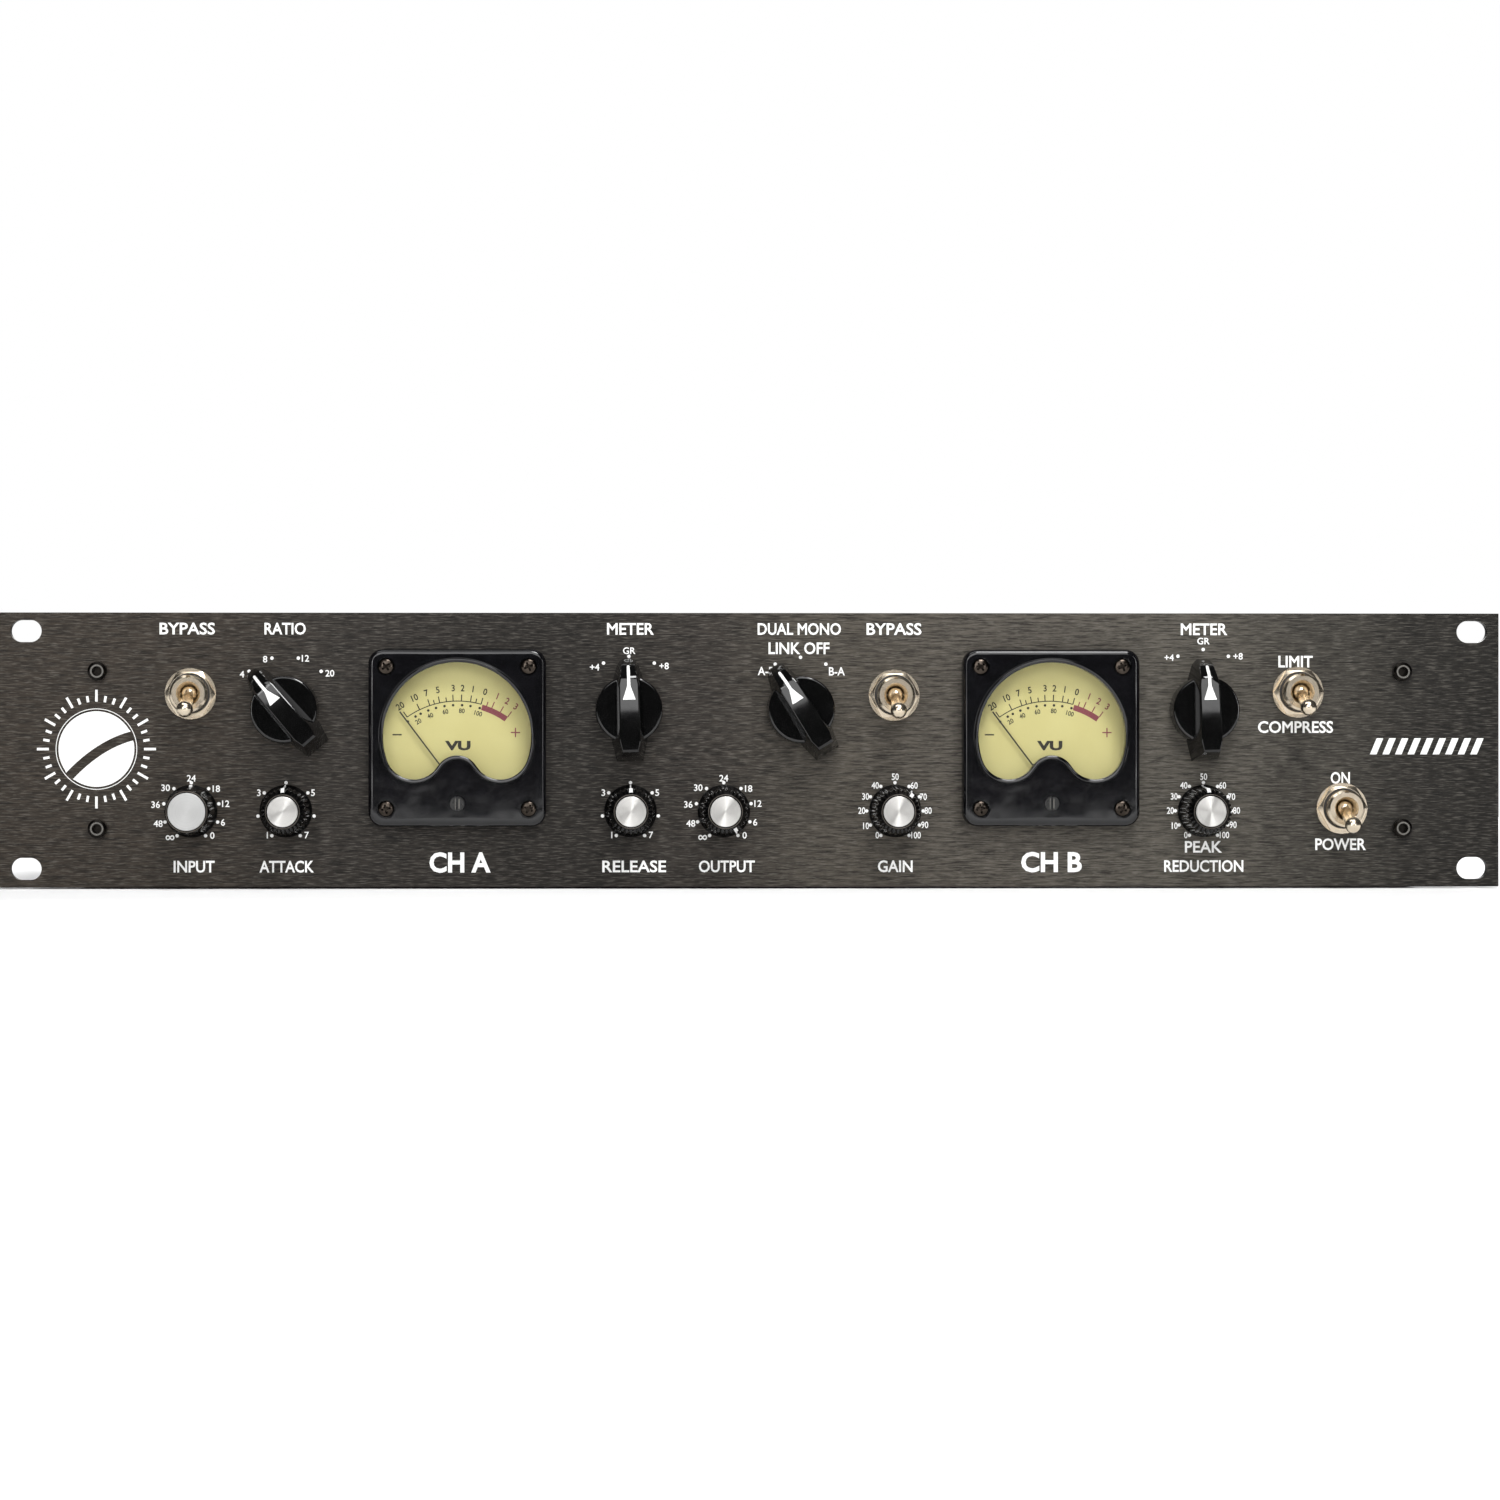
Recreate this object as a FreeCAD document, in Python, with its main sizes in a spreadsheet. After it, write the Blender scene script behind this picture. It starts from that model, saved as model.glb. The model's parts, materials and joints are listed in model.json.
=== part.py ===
import FreeCAD, Part
import math
import operator
import os
from types import SimpleNamespace

import Sketcher
from FreeCAD import Placement, Rotation, Vector

# A two-channel rack compressor, two rack units high.  Millimetres and degrees.  Seen from the front,
# +X is to the right and +Z is up; +Y runs to the rear.  The origin is the middle of the plane that
# bears on the rack rails, which is the rear face of the front panel.
# Pieces that belong to a face are drawn flat: local x to the right, local y up, local z out of the face.

DIMENSIONS = {
    # Front panel, rack slots and case.
    "panel_width": 482.6,
    "panel_height": 88.1,
    "panel_thickness": 3.0,
    "panel_bevel": 0.4,
    "rack_spacing_across": 465.1,
    "rack_spacing_up": 76.2,
    "rack_slot_length": 9.9,
    "rack_slot_width": 7.1,
    "case_width": 431.8,
    "case_height": 84.0,
    "case_depth": 230.0,
    "sheet_thickness": 1.2,
    "rear_thickness": 1.5,
    "flange_width": 12.0,
    "cover_gap": 0.3,
    "vent_length": 34.0,
    "vent_width": 2.6,
    "vent_pitch": 7.0,
    # Screws: small pan heads, meter screws and the panel's socket screws.
    "screw_radius": 1.5,
    "screw_head_radius": 2.6,
    "screw_head_height": 1.5,
    "screw_length": 6.0,
    "cross_width": 0.7,
    "cross_length": 3.0,
    "cross_depth": 1.0,
    "clear_hole_radius": 1.7,
    "panel_screw_across": 209.6,
    "panel_screw_up": 25.2,
    "socket_head_radius": 3.0,
    "socket_head_height": 3.4,
    "socket_head_chamfer": 0.7,
    "socket_across_flats": 2.8,
    "socket_depth": 1.9,
    "socket_shank_radius": 1.75,
    "socket_shank_length": 10.0,
    # Rows and columns of the controls.
    "selector_up": 12.9,
    "pot_up": -19.6,
    "ratio_across": -149.8,
    "meter_a_knob_across": -39.6,
    "link_across": 15.6,
    "meter_b_knob_across": 145.5,
    "input_across": -179.8,
    "attack_across": -149.5,
    "release_across": -39.1,
    "output_across": -9.1,
    "gain_across": 46.0,
    "peak_reduction_across": 145.6,
    # Round knobs, their caps and shafts.
    "knob_gap": 0.5,
    "knob_skirt_radius": 8.4,
    "knob_rim": 1.0,
    "knob_foot_height": 1.5,
    "knob_foot_radius": 7.9,
    "knob_shoulder_height": 12.4,
    "knob_shoulder_radius": 7.2,
    "knob_top_radius": 5.35,
    "knob_cap_radius": 4.85,
    "knob_height": 14.9,
    "wide_shoulder_height": 13.9,
    "wide_top_radius": 6.5,
    "wide_cap_radius": 6.0,
    "cap_seat": 0.6,
    "cap_thickness": 0.9,
    "cap_chamfer": 0.2,
    "knob_recess_radius": 6.1,
    "knob_recess_depth": 3.4,
    "knob_bore_depth": 12.0,
    "shaft_radius": 3.0,
    "shaft_clearance": 0.1,
    "shaft_reach": 11.5,
    "shaft_tail": 9.0,
    # Pointer knobs.
    "pointer_disc_radius": 11.0,
    "pointer_disc_height": 7.0,
    "pointer_disc_draft": 3.0,
    "pointer_height": 16.0,
    "pointer_draft": 8.5,
    "pointer_nose": 16.4,
    "pointer_nose_half": 3.0,
    "pointer_shoulder": 8.0,
    "pointer_half": 5.2,
    "pointer_tail": 16.4,
    "pointer_tail_half": 4.25,
    "pointer_flare": 10.0,
    "pointer_flare_half": 5.7,
    "ridge_front": 10.5,
    "nose_knee_reach": 14.2,
    "nose_knee_height": 11.0,
    "nose_foot_height": 3.5,
    "pointer_recess_radius": 8.4,
    # Potentiometers and rotary switches.
    "pot_radius": 8.5,
    "pot_depth": 12.0,
    "pot_bushing_radius": 3.5,
    "pot_nut_flats": 10.0,
    "selector_radius": 13.0,
    "selector_depth": 18.0,
    "selector_bushing_radius": 4.75,
    "selector_nut_flats": 12.7,
    "bushing_reach": 3.2,
    "nut_height": 2.2,
    # Toggle switches.
    "bypass_a_across": -180.0,
    "bypass_a_up": 18.0,
    "bypass_b_across": 45.7,
    "bypass_b_up": 17.6,
    "limit_across": 176.1,
    "limit_up": 18.6,
    "power_across": 190.3,
    "power_up": -18.8,
    "toggle_width": 15.0,
    "toggle_length": 27.0,
    "toggle_depth": 20.0,
    "toggle_shoulder_radius": 7.5,
    "toggle_shoulder": 1.5,
    "toggle_bushing_radius": 5.95,
    "toggle_bushing_mouth": 5.3,
    "toggle_bushing_reach": 8.7,
    "toggle_bushing_chamfer": 0.65,
    "toggle_washer_radius": 8.2,
    "toggle_washer_height": 0.8,
    "toggle_nut_flats": 14.0,
    "toggle_nut_height": 2.6,
    "toggle_mouth_radius": 3.83,
    "toggle_well_radius": 2.8,
    "toggle_well_top": 6.0,
    "toggle_pivot_height": 4.7,
    "toggle_ball_radius": 2.7,
    "toggle_pin_radius": 0.5,
    "toggle_pin_half": 4.2,
    "keyway_width": 1.3,
    "keyway_depth": 0.9,
    "lever_waist_radius": 1.45,
    "lever_tip_radius": 2.6,
    "lever_neck_radius": 2.35,
    "lever_length": 17.4,
    "lever_stub_radius": 1.0,
    "lever_stub_length": 4.4,
    "lever_tilt": 20.0,
    "lug_width": 5.0,
    "lug_thickness": 0.8,
    "lug_length": 7.0,
    "lug_pitch": 8.5,
    # Meters.
    "meter_a_across": -94.5,
    "meter_b_across": 95.8,
    "meter_up": 3.9,
    "bezel_side": 56.7,
    "bezel_corner": 4.7,
    "bezel_thickness": 6.6,
    "bezel_edge": 1.6,
    "bezel_wall": 2.4,
    "bezel_recess_radius": 24.8,
    "collar_width": 1.5,
    "collar_rise": 1.5,
    "window_radius": 23.6,
    "window_rise": 0.5,
    "lobe_radius": 9.0,
    "lobe_floor": -13.3,
    "hump_top": -5.6,
    "pane_thickness": 1.2,
    "pane_height": 5.2,
    "meter_screw_spacing": 45.5,
    "meter_screw_seat_radius": 2.95,
    "meter_screw_seat_depth": 1.3,
    "meter_screw_length": 12.0,
    "meter_nut_flats": 5.5,
    "meter_nut_height": 2.0,
    "adjuster_up": -21.1,
    "adjuster_radius": 2.3,
    "adjuster_clearance": 0.1,
    "adjuster_proud": 0.3,
    "adjuster_flange_radius": 3.2,
    "adjuster_flange_height": 0.8,
    "adjuster_slot_width": 0.8,
    "adjuster_slot_depth": 0.9,
    "crank_offset": 1.6,
    "crank_radius": 0.5,
    "crank_length": 1.4,
    "dial_radius": 24.3,
    "dial_thickness": 0.8,
    "dial_hole_radius": 1.4,
    "can_radius": 23.5,
    "can_hole_radius": 23.8,
    "can_depth": 30.0,
    "can_wall": 1.5,
    "pivot_up": -16.2,
    "needle_reach": 30.8,
    "needle_tail": 5.0,
    "needle_width": 0.45,
    "needle_thickness": 0.3,
    "needle_height": 1.9,
    "needle_hub_radius": 2.0,
    "needle_hub_height": 1.2,
    "needle_hub_base": 1.4,
    "needle_shaft_radius": 0.8,
    "coil_radius": 2.4,
    "coil_length": 9.0,
    "coil_base": -13.0,
    "magnet_radius": 5.3,
    "magnet_bore": 3.0,
    "magnet_length": 11.0,
    "magnet_base": -14.0,
    "rest_needle": -37.0,
    # Rear sockets and the mains inlet.
    "input_a_across": -185.0,
    "output_a_across": -150.0,
    "input_b_across": -95.0,
    "output_b_across": -60.0,
    "xlr_width": 26.0,
    "xlr_height": 31.0,
    "xlr_corner": 3.0,
    "xlr_flange": 3.2,
    "xlr_body_radius": 11.7,
    "xlr_hole_radius": 12.0,
    "xlr_body_depth": 21.0,
    "xlr_cup_radius": 9.6,
    "xlr_cup_depth": 14.5,
    "xlr_core_radius": 7.0,
    "xlr_pin_radius": 1.2,
    "xlr_pin_circle": 4.6,
    "xlr_pin_socket_radius": 1.3,
    "xlr_pin_inset": 2.0,
    "xlr_screw_across": 9.5,
    "xlr_screw_up": 12.0,
    "latch_width": 6.4,
    "latch_height": 2.6,
    "latch_thickness": 2.2,
    "latch_up": 12.7,
    "latch_base": 2.2,
    "latch_pocket_floor": 0.5,
    "latch_clearance": 0.3,
    "inlet_across": 180.0,
    "inlet_ear_width": 50.0,
    "inlet_height": 38.0,
    "inlet_flange": 3.0,
    "inlet_screw_across": 20.0,
    "inlet_body_width": 28.0,
    "inlet_body_height": 34.0,
    "inlet_body_depth": 24.0,
    "inlet_cavity_width": 24.6,
    "inlet_cavity_height": 17.0,
    "inlet_cavity_depth": 16.0,
    "inlet_cavity_up": 6.0,
    "blade_width": 2.0,
    "blade_height": 4.0,
    "blade_pitch": 7.0,
    "blade_length": 14.0,
    "blade_up": 5.5,
    "earth_up": 10.0,
    "drawer_slot_width": 22.4,
    "drawer_slot_height": 8.4,
    "drawer_slot_depth": 21.0,
    "drawer_up": -10.5,
    "drawer_clearance": 0.35,
    "drawer_length": 20.0,
    "fuse_length": 19.8,
    "fuse_radius": 2.5,
    "fuse_pocket": 5.6,
    "fuse_pocket_depth": 6.6,
    "fuse_back": -12.0,
    # Inside the case.
    "board_rise": 8.0,
    "board_thickness": 1.6,
    "board_inset": 5.0,
    "standoff_radius": 3.0,
    "board_front": 48.0,
    "board_length": 150.0,
    "board_a_left": -204.0,
    "board_a_width": 160.0,
    "board_b_left": -36.0,
    "board_b_width": 132.0,
    "toroid_radius": 42.0,
    "toroid_bore": 13.0,
    "toroid_height": 34.0,
    "toroid_edge": 9.0,
    "toroid_across": 152.0,
    "toroid_back": 125.0,
    "toroid_dish_radius": 22.0,
    "toroid_dish_height": 2.0,
    "toroid_bolt_radius": 3.0,
    "can_side": 30.0,
    "can_height": 31.0,
    "can_edge": 3.0,
    "capacitor_radius": 12.5,
    "capacitor_height": 38.0,
    "capacitor_edge": 1.2,
    "cell_radius": 11.0,
    "cell_height": 34.0,
}

# Which way each pointer or indicator stands, in degrees clockwise from up.
SELECTOR_TURNS = {"ratio": -41.0, "meter_a_knob": -1.5, "link": -32.0, "meter_b_knob": -1.5}
POT_TURNS = {
    "input": 0.0,
    "attack": -1.0,
    "release": 0.0,
    "output": 150.0,
    "gain": 40.0,
    "peak_reduction": -4.0,
}
TOGGLES = ("bypass_a", "bypass_b", "limit", "power")
PIN_ANGLES = (30.0, 150.0, 270.0)

# Along the case's depth, as fractions of it, and the counts of the cover's vent slots.
COVER_SCREWS_AT = (0.125, 0.5, 0.875)
VENT_ROWS = 3
VENTS_PER_SIDE = 24
CLEAR_VENTS = 2

# Lengths and volumes below this count as nothing.
TINY = 1e-6

SIGNS = {"+": operator.add, "-": operator.sub, "*": operator.mul, "/": operator.truediv}


class Size:
    """A number together with the spreadsheet formula that it comes from."""

    def __init__(self, value, formula):
        self.value = value
        self.formula = formula

    def __add__(self, other):
        return combined(self, "+", other)

    def __radd__(self, other):
        return combined(other, "+", self)

    def __sub__(self, other):
        return combined(self, "-", other)

    def __rsub__(self, other):
        return combined(other, "-", self)

    def __mul__(self, other):
        return combined(self, "*", other)

    def __rmul__(self, other):
        return combined(other, "*", self)

    def __truediv__(self, other):
        return combined(self, "/", other)

    def __neg__(self):
        return combined(0, "-", self)


def number(size):
    return size.value if isinstance(size, Size) else float(size)


def formula(size):
    return size.formula if isinstance(size, Size) else repr(float(size))


def combined(left, sign, right):
    value = SIGNS[sign](number(left), number(right))
    return Size(value, f"({formula(left)} {sign} {formula(right)})")


doc = FreeCAD.newDocument("rack_compressor")
nodes = []


def driving_sheet():
    """The spreadsheet of driving dimensions, and a Size for each of its aliases."""
    sheet = doc.addObject("Spreadsheet::Sheet", "Dims")
    for row, (alias, value) in enumerate(DIMENSIONS.items(), start=1):
        sheet.set(f"A{row}", alias)
        sheet.set(f"B{row}", str(value))
        sheet.setAlias(f"B{row}", alias)
    doc.recompute()
    return SimpleNamespace(**{a: Size(float(getattr(sheet, a)), f"Dims.{a}") for a in DIMENSIONS})


D = driving_sheet()
TO_FRONT = Rotation(Vector(1, 0, 0), 90)
TO_REAR = Rotation(Vector(0, 0, 1), 180).multiply(TO_FRONT)
UPRIGHT = Rotation()
CORNERS = ((-1, -1), (1, -1), (1, 1), (-1, 1))
FRONT_FACE = D.panel_thickness
REAR_FACE = D.case_depth + D.rear_thickness
COVER_TOP = D.case_height / 2
FLOOR_TOP = D.sheet_thickness - D.case_height / 2
BOARD_TOP = FLOOR_TOP + D.board_rise + D.board_thickness


# ---- Helpers: every size goes into the document as an expression on the sheet. ----


def bind(item, **sizes):
    for name, size in sizes.items():
        if isinstance(size, Size):
            item.setExpression(name, size.formula)
        else:
            setattr(item, name, size)
    return item


def place(item, x=0, y=0, z=0, rotation=UPRIGHT):
    item.Placement = Placement(Vector(number(x), number(y), number(z)), rotation)
    for axis, size in zip("xyz", (x, y, z)):
        if isinstance(size, Size):
            item.setExpression(f"Placement.Base.{axis}", size.formula)
    return item


def on_front(item, x=0, up=0, height=0, turn=0):
    """Place a flat-drawn piece on the panel, height in front of its rear face, turned clockwise."""
    return place(item, x, -height, up, Rotation(Vector(0, 1, 0), turn).multiply(TO_FRONT))


def on_rear(item, x=0, up=0, height=0):
    return place(item, x, REAR_FACE + height, up, TO_REAR)


def node(label, item):
    item.Label = label
    nodes.append(item)
    return item


def box(name, size, x=0, y=0, z=0, centred=True):
    """A box that stands on local z, centred over (x, y) or with its low corner there."""
    length, width, height = size
    item = bind(doc.addObject("Part::Box", name), Length=length, Width=width, Height=height)
    if centred:
        x, y = x - length / 2, y - width / 2
    return place(item, x, y, z)


def cylinder(name, radius, height, x=0, y=0, z=0, rotation=UPRIGHT):
    item = bind(doc.addObject("Part::Cylinder", name), Radius=radius, Height=height)
    return place(item, x, y, z, rotation)


def cone(name, radius_1, radius_2, height, z=0):
    item = doc.addObject("Part::Cone", name)
    return place(bind(item, Radius1=radius_1, Radius2=radius_2, Height=height), z=z)


def sphere(name, radius, z=0):
    return place(bind(doc.addObject("Part::Sphere", name), Radius=radius), z=z)


def hexagon(name, across_flats, height, z=0):
    item = doc.addObject("Part::Prism", name)
    item.Polygon = 6
    return place(bind(item, Circumradius=across_flats / math.sqrt(3), Height=height), z=z)


def fuse(name, *shapes):
    item = doc.addObject("Part::MultiFuse", name)
    item.Shapes = list(shapes)
    item.Refine = True
    return item


def cut(name, base, *tools):
    item = doc.addObject("Part::Cut", name)
    item.Base = base
    item.Tool = tools[0] if len(tools) == 1 else fuse(f"{name}_tools", *tools)
    return item


def group(label, pieces):
    item = doc.addObject("Part::Compound", label)
    item.Links = list(pieces)
    return node(label, item)


def copy_of(master):
    item = doc.addObject("App::Link", f"{master.Name}_copy")
    item.LinkedObject = master
    return item


def round_edges(name, base, radius, chosen):
    """A Part::Fillet on the edges for which chosen(edge) is true."""
    doc.recompute()
    item = doc.addObject("Part::Fillet", name)
    item.Base = base
    size = number(radius)
    edges = base.Shape.Edges
    item.Edges = [(i, size, size) for i, edge in enumerate(edges, start=1) if chosen(edge)]
    return item


def upright_edge(edge):
    low, high = edge.BoundBox.ZMin, edge.BoundBox.ZMax
    return edge.BoundBox.XLength < TINY and edge.BoundBox.YLength < TINY and high - low > TINY


def edge_at_height(height):
    level = number(height)
    return lambda edge: abs(edge.BoundBox.ZMin - level) < 1e-4 and abs(edge.BoundBox.ZMax - level) < 1e-4


def extruded(name, wire, height, z=0):
    outline = doc.addObject("Part::Feature", f"{name}_outline")
    outline.Shape = wire
    item = doc.addObject("Part::Extrusion", name)
    item.Base = outline
    item.DirMode = "Custom"
    item.Dir = Vector(0, 0, 1)
    item.Solid = True
    bind(item, LengthFwd=height)
    return place(item, z=z)


def sketch_on(body, role, name, height=0):
    """A sketch on one of the body's own origin planes, lifted by height."""
    sketch = body.newObject("Sketcher::SketchObject", name)
    plane = next(item for item in body.Origin.OriginFeatures if item.Role == role)
    sketch.AttachmentSupport = [(plane, "")]
    sketch.MapMode = "FlatFace"
    if isinstance(height, Size):
        sketch.setExpression("AttachmentOffset.Base.z", height.formula)
    return sketch


def hold(sketch, kind, line, size):
    """Keep the start of a line at its signed distance from the sketch's origin."""
    if abs(number(size)) < TINY:
        axis = -2 if kind == "DistanceX" else -1
        sketch.addConstraint(Sketcher.Constraint("PointOnObject", line, 1, axis))
        return
    index = sketch.addConstraint(Sketcher.Constraint(kind, -1, 1, line, 1, number(size)))
    if isinstance(size, Size):
        sketch.setExpression(f"Constraints[{index}]", size.formula)


def draw_polygon(sketch, corners):
    points = [Vector(number(u), number(v), 0) for u, v in corners]
    count = len(points)
    for start, end in zip(points, points[1:] + points[:1]):
        sketch.addGeometry(Part.LineSegment(start, end), False)
    for step, (u, v) in enumerate(corners):
        sketch.addConstraint(Sketcher.Constraint("Coincident", step, 2, (step + 1) % count, 1))
        hold(sketch, "DistanceX", step, u)
        hold(sketch, "DistanceY", step, v)


def draw_circle(sketch, radius, u=0, v=0):
    centre = Vector(number(u), number(v), 0)
    circle = sketch.addGeometry(Part.Circle(centre, Vector(0, 0, 1), number(radius)), False)
    index = sketch.addConstraint(Sketcher.Constraint("Radius", circle, number(radius)))
    sketch.setExpression(f"Constraints[{index}]", radius.formula)
    for kind, size in (("DistanceX", u), ("DistanceY", v)):
        if abs(number(size)) < TINY:
            axis = -2 if kind == "DistanceX" else -1
            sketch.addConstraint(Sketcher.Constraint("PointOnObject", circle, 3, axis))
        else:
            index = sketch.addConstraint(Sketcher.Constraint(kind, -1, 1, circle, 3, number(size)))
            sketch.setExpression(f"Constraints[{index}]", formula(size))


def new_body(name):
    return doc.addObject("PartDesign::Body", name)


def pad(body, sketch, height, draft=None):
    item = body.newObject("PartDesign::Pad", f"{sketch.Name}_pad")
    item.Profile = sketch
    bind(item, Length=height)
    if draft is not None:
        bind(item, TaperAngle=-draft)
    return item


def pocket(body, sketch, depth, midplane=False):
    """Cut towards the body's +z from a sketch on its base plane, and check that it does cut."""
    doc.recompute()
    before = body.Shape.Volume
    item = body.newObject("PartDesign::Pocket", f"{sketch.Name}_pocket")
    item.Profile = sketch
    bind(item, Length=depth)
    if midplane:
        item.SideType = "Symmetric"
    else:
        item.Reversed = True
    doc.recompute()
    if not body.Shape.Volume < before - TINY:
        raise RuntimeError(f"{sketch.Name} cuts nothing")
    return item


def turned(name, profile):
    """A body turned about local z from a half profile of (radius, height) corners."""
    body = new_body(name)
    sketch = sketch_on(body, "XZ_Plane", f"{name}_profile")
    draw_polygon(sketch, profile)
    turn = body.newObject("PartDesign::Revolution", f"{name}_turned")
    turn.Profile = sketch
    turn.ReferenceAxis = (sketch, ["V_Axis"])
    turn.Angle = 360
    return body


# ---- Panel, case and covers. ----


def toggle_place(name):
    return getattr(D, f"{name}_across"), getattr(D, f"{name}_up")


def selector_places():
    return [(getattr(D, f"{name}_across"), D.selector_up) for name in SELECTOR_TURNS]


def pot_places():
    return [(getattr(D, f"{name}_across"), D.pot_up) for name in POT_TURNS]


def meter_places():
    return [(D.meter_a_across, D.meter_up), (D.meter_b_across, D.meter_up)]


def meter_screw_places():
    half = D.meter_screw_spacing / 2
    return [(x + sx * half, up + sy * half) for x, up in meter_places() for sx, sy in CORNERS]


def slot_cutter(name, x, up):
    """An upright cutter for one rack slot, with round ends."""
    radius = D.rack_slot_width / 2
    straight = D.rack_slot_length - D.rack_slot_width
    depth = D.panel_thickness * 3
    low = -D.panel_thickness
    middle = box(f"{name}_middle", (straight, D.rack_slot_width, depth), x, up, low)
    left = cylinder(f"{name}_left", radius, depth, x - straight / 2, up, low)
    right = cylinder(f"{name}_right", radius, depth, x + straight / 2, up, low)
    return fuse(name, middle, left, right)


def front_panel():
    body = new_body("panel_plate")
    outline = sketch_on(body, "XY_Plane", "panel_outline")
    draw_polygon(outline, [(sx * D.panel_width / 2, sy * D.panel_height / 2) for sx, sy in CORNERS])
    plate = pad(body, outline, D.panel_thickness)
    doc.recompute()
    bevel = body.newObject("PartDesign::Chamfer", "panel_bevel")
    at_front = edge_at_height(D.panel_thickness)
    names = [f"Edge{i}" for i, edge in enumerate(plate.Shape.Edges, start=1) if at_front(edge)]
    bevel.Base = (plate, names)
    bind(bevel, Size=D.panel_bevel)
    holes = sketch_on(body, "XY_Plane", "panel_holes")
    for x, up in meter_places():
        draw_circle(holes, D.can_hole_radius, x, up)
    for x, up in meter_screw_places():
        draw_circle(holes, D.clear_hole_radius, x, up)
    for x, up in selector_places():
        draw_circle(holes, D.selector_bushing_radius, x, up)
    for x, up in pot_places():
        draw_circle(holes, D.pot_bushing_radius, x, up)
    for name in TOGGLES:
        draw_circle(holes, D.toggle_bushing_radius, *toggle_place(name))
    for sx, sy in CORNERS:
        draw_circle(holes, D.socket_shank_radius, sx * D.panel_screw_across, sy * D.panel_screw_up)
    pocket(body, holes, D.panel_thickness)
    half_across, half_up = D.rack_spacing_across / 2, D.rack_spacing_up / 2
    slots = [
        slot_cutter(f"rack_slot_{i}", sx * half_across, sy * half_up)
        for i, (sx, sy) in enumerate(CORNERS, start=1)
    ]
    on_front(node("front_panel", cut("panel", body, *slots)))


def board_screw_places():
    """Where each board's four screws stand: x, y."""
    places = []
    for left, width in ((D.board_a_left, D.board_a_width), (D.board_b_left, D.board_b_width)):
        for x in (left + D.board_inset, left + width - D.board_inset):
            for y in (D.board_front + D.board_inset, D.board_front + D.board_length - D.board_inset):
                places.append((x, y))
    return places


def cover_screw_places():
    across = D.case_width / 2 - D.sheet_thickness - D.flange_width / 2
    return [(side * across, D.case_depth * part) for side in (-1, 1) for part in COVER_SCREWS_AT]


def rear_screw_places():
    across = D.case_width / 2 - D.sheet_thickness - D.flange_width / 2
    return [(side * across, up * D.panel_screw_up) for side in (-1, 1) for up in (-1, 1)]


def chassis_tray():
    """Folded tray: floor, two sides with flanges turned in at the front, rear and top, standoffs."""
    sheet, flange = D.sheet_thickness, D.flange_width
    wall = D.case_height - sheet
    bottom = -D.case_height / 2
    parts = [box("floor", (D.case_width, D.case_depth, sheet), -D.case_width / 2, 0, bottom, False)]
    for side in (-1, 1):
        tag = "left" if side < 0 else "right"
        outer = side * D.case_width / 2
        inner = outer - side * sheet
        wall_x = outer if side < 0 else inner
        fold_x = inner if side < 0 else inner - flange
        parts.append(box(f"{tag}_wall", (sheet, D.case_depth, wall), wall_x, 0, bottom, False))
        parts.append(box(f"{tag}_front_fold", (flange, sheet, wall), fold_x, 0, bottom, False))
        rear = D.case_depth - sheet
        parts.append(box(f"{tag}_rear_fold", (flange, sheet, wall), fold_x, rear, bottom, False))
        top = COVER_TOP - sheet * 2
        parts.append(box(f"{tag}_top_fold", (flange, D.case_depth, sheet), fold_x, 0, top, False))
    for i, (x, y) in enumerate(board_screw_places(), start=1):
        parts.append(cylinder(f"standoff_{i}", D.standoff_radius, D.board_rise, x, y, FLOOR_TOP))
    holes = []
    for i, (x, y) in enumerate(board_screw_places(), start=1):
        holes.append(cylinder(f"standoff_bore_{i}", D.screw_radius, D.board_rise, x, y, FLOOR_TOP))
    for i, (x, y) in enumerate(cover_screw_places(), start=1):
        depth = sheet * 4
        holes.append(cylinder(f"fold_hole_{i}", D.screw_radius, depth, x, y, COVER_TOP - sheet * 3))
    for i, (sx, sy) in enumerate(CORNERS, start=1):
        x, up = sx * D.panel_screw_across, sy * D.panel_screw_up
        hole = cylinder(f"front_hole_{i}", D.socket_shank_radius, sheet * 3)
        holes.append(place(hole, x, sheet * 2, up, TO_FRONT))
    for i, (x, up) in enumerate(rear_screw_places(), start=1):
        hole = cylinder(f"rear_hole_{i}", D.screw_radius, sheet * 3)
        holes.append(place(hole, x, D.case_depth + sheet, up, TO_FRONT))
    hole = cylinder("toroid_hole", D.toroid_bolt_radius, sheet * 3)
    holes.append(place(hole, D.toroid_across, D.toroid_back, bottom - sheet))
    node("chassis_tray", cut("tray", fuse("tray_sheet", *parts), *holes))


def vent_cutters():
    """Rows of narrow slots in the cover, left whole along its middle."""
    cutters = []
    for row in range(VENT_ROWS):
        y = D.case_depth * (row + 1) / (VENT_ROWS + 1)
        for step in range(-VENTS_PER_SIDE, VENTS_PER_SIDE + 1):
            if abs(step) < CLEAR_VENTS:
                continue
            name = f"vent_{row}_{step + VENTS_PER_SIDE}"
            size = (D.vent_width, D.vent_length, D.sheet_thickness * 3)
            cutters.append(box(name, size, step * D.vent_pitch, y, COVER_TOP - D.sheet_thickness * 2))
    return cutters


def top_cover():
    length = D.case_depth - D.cover_gap
    size = (D.case_width, length, D.sheet_thickness)
    plate = box("cover_plate", size, -D.case_width / 2, D.cover_gap, COVER_TOP - D.sheet_thickness, False)
    holes = [
        cylinder(f"cover_hole_{i}", D.clear_hole_radius, D.sheet_thickness * 3, x, y,
                 COVER_TOP - D.sheet_thickness * 2)
        for i, (x, y) in enumerate(cover_screw_places(), start=1)
    ]
    vents = doc.addObject("Part::Compound", "vents")
    vents.Links = vent_cutters() + holes
    node("top_cover", cut("cover", plate, vents))


def xlr_places(kind):
    names = (f"{kind}_a_across", f"{kind}_b_across")
    return [getattr(D, name) for name in names]


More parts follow.
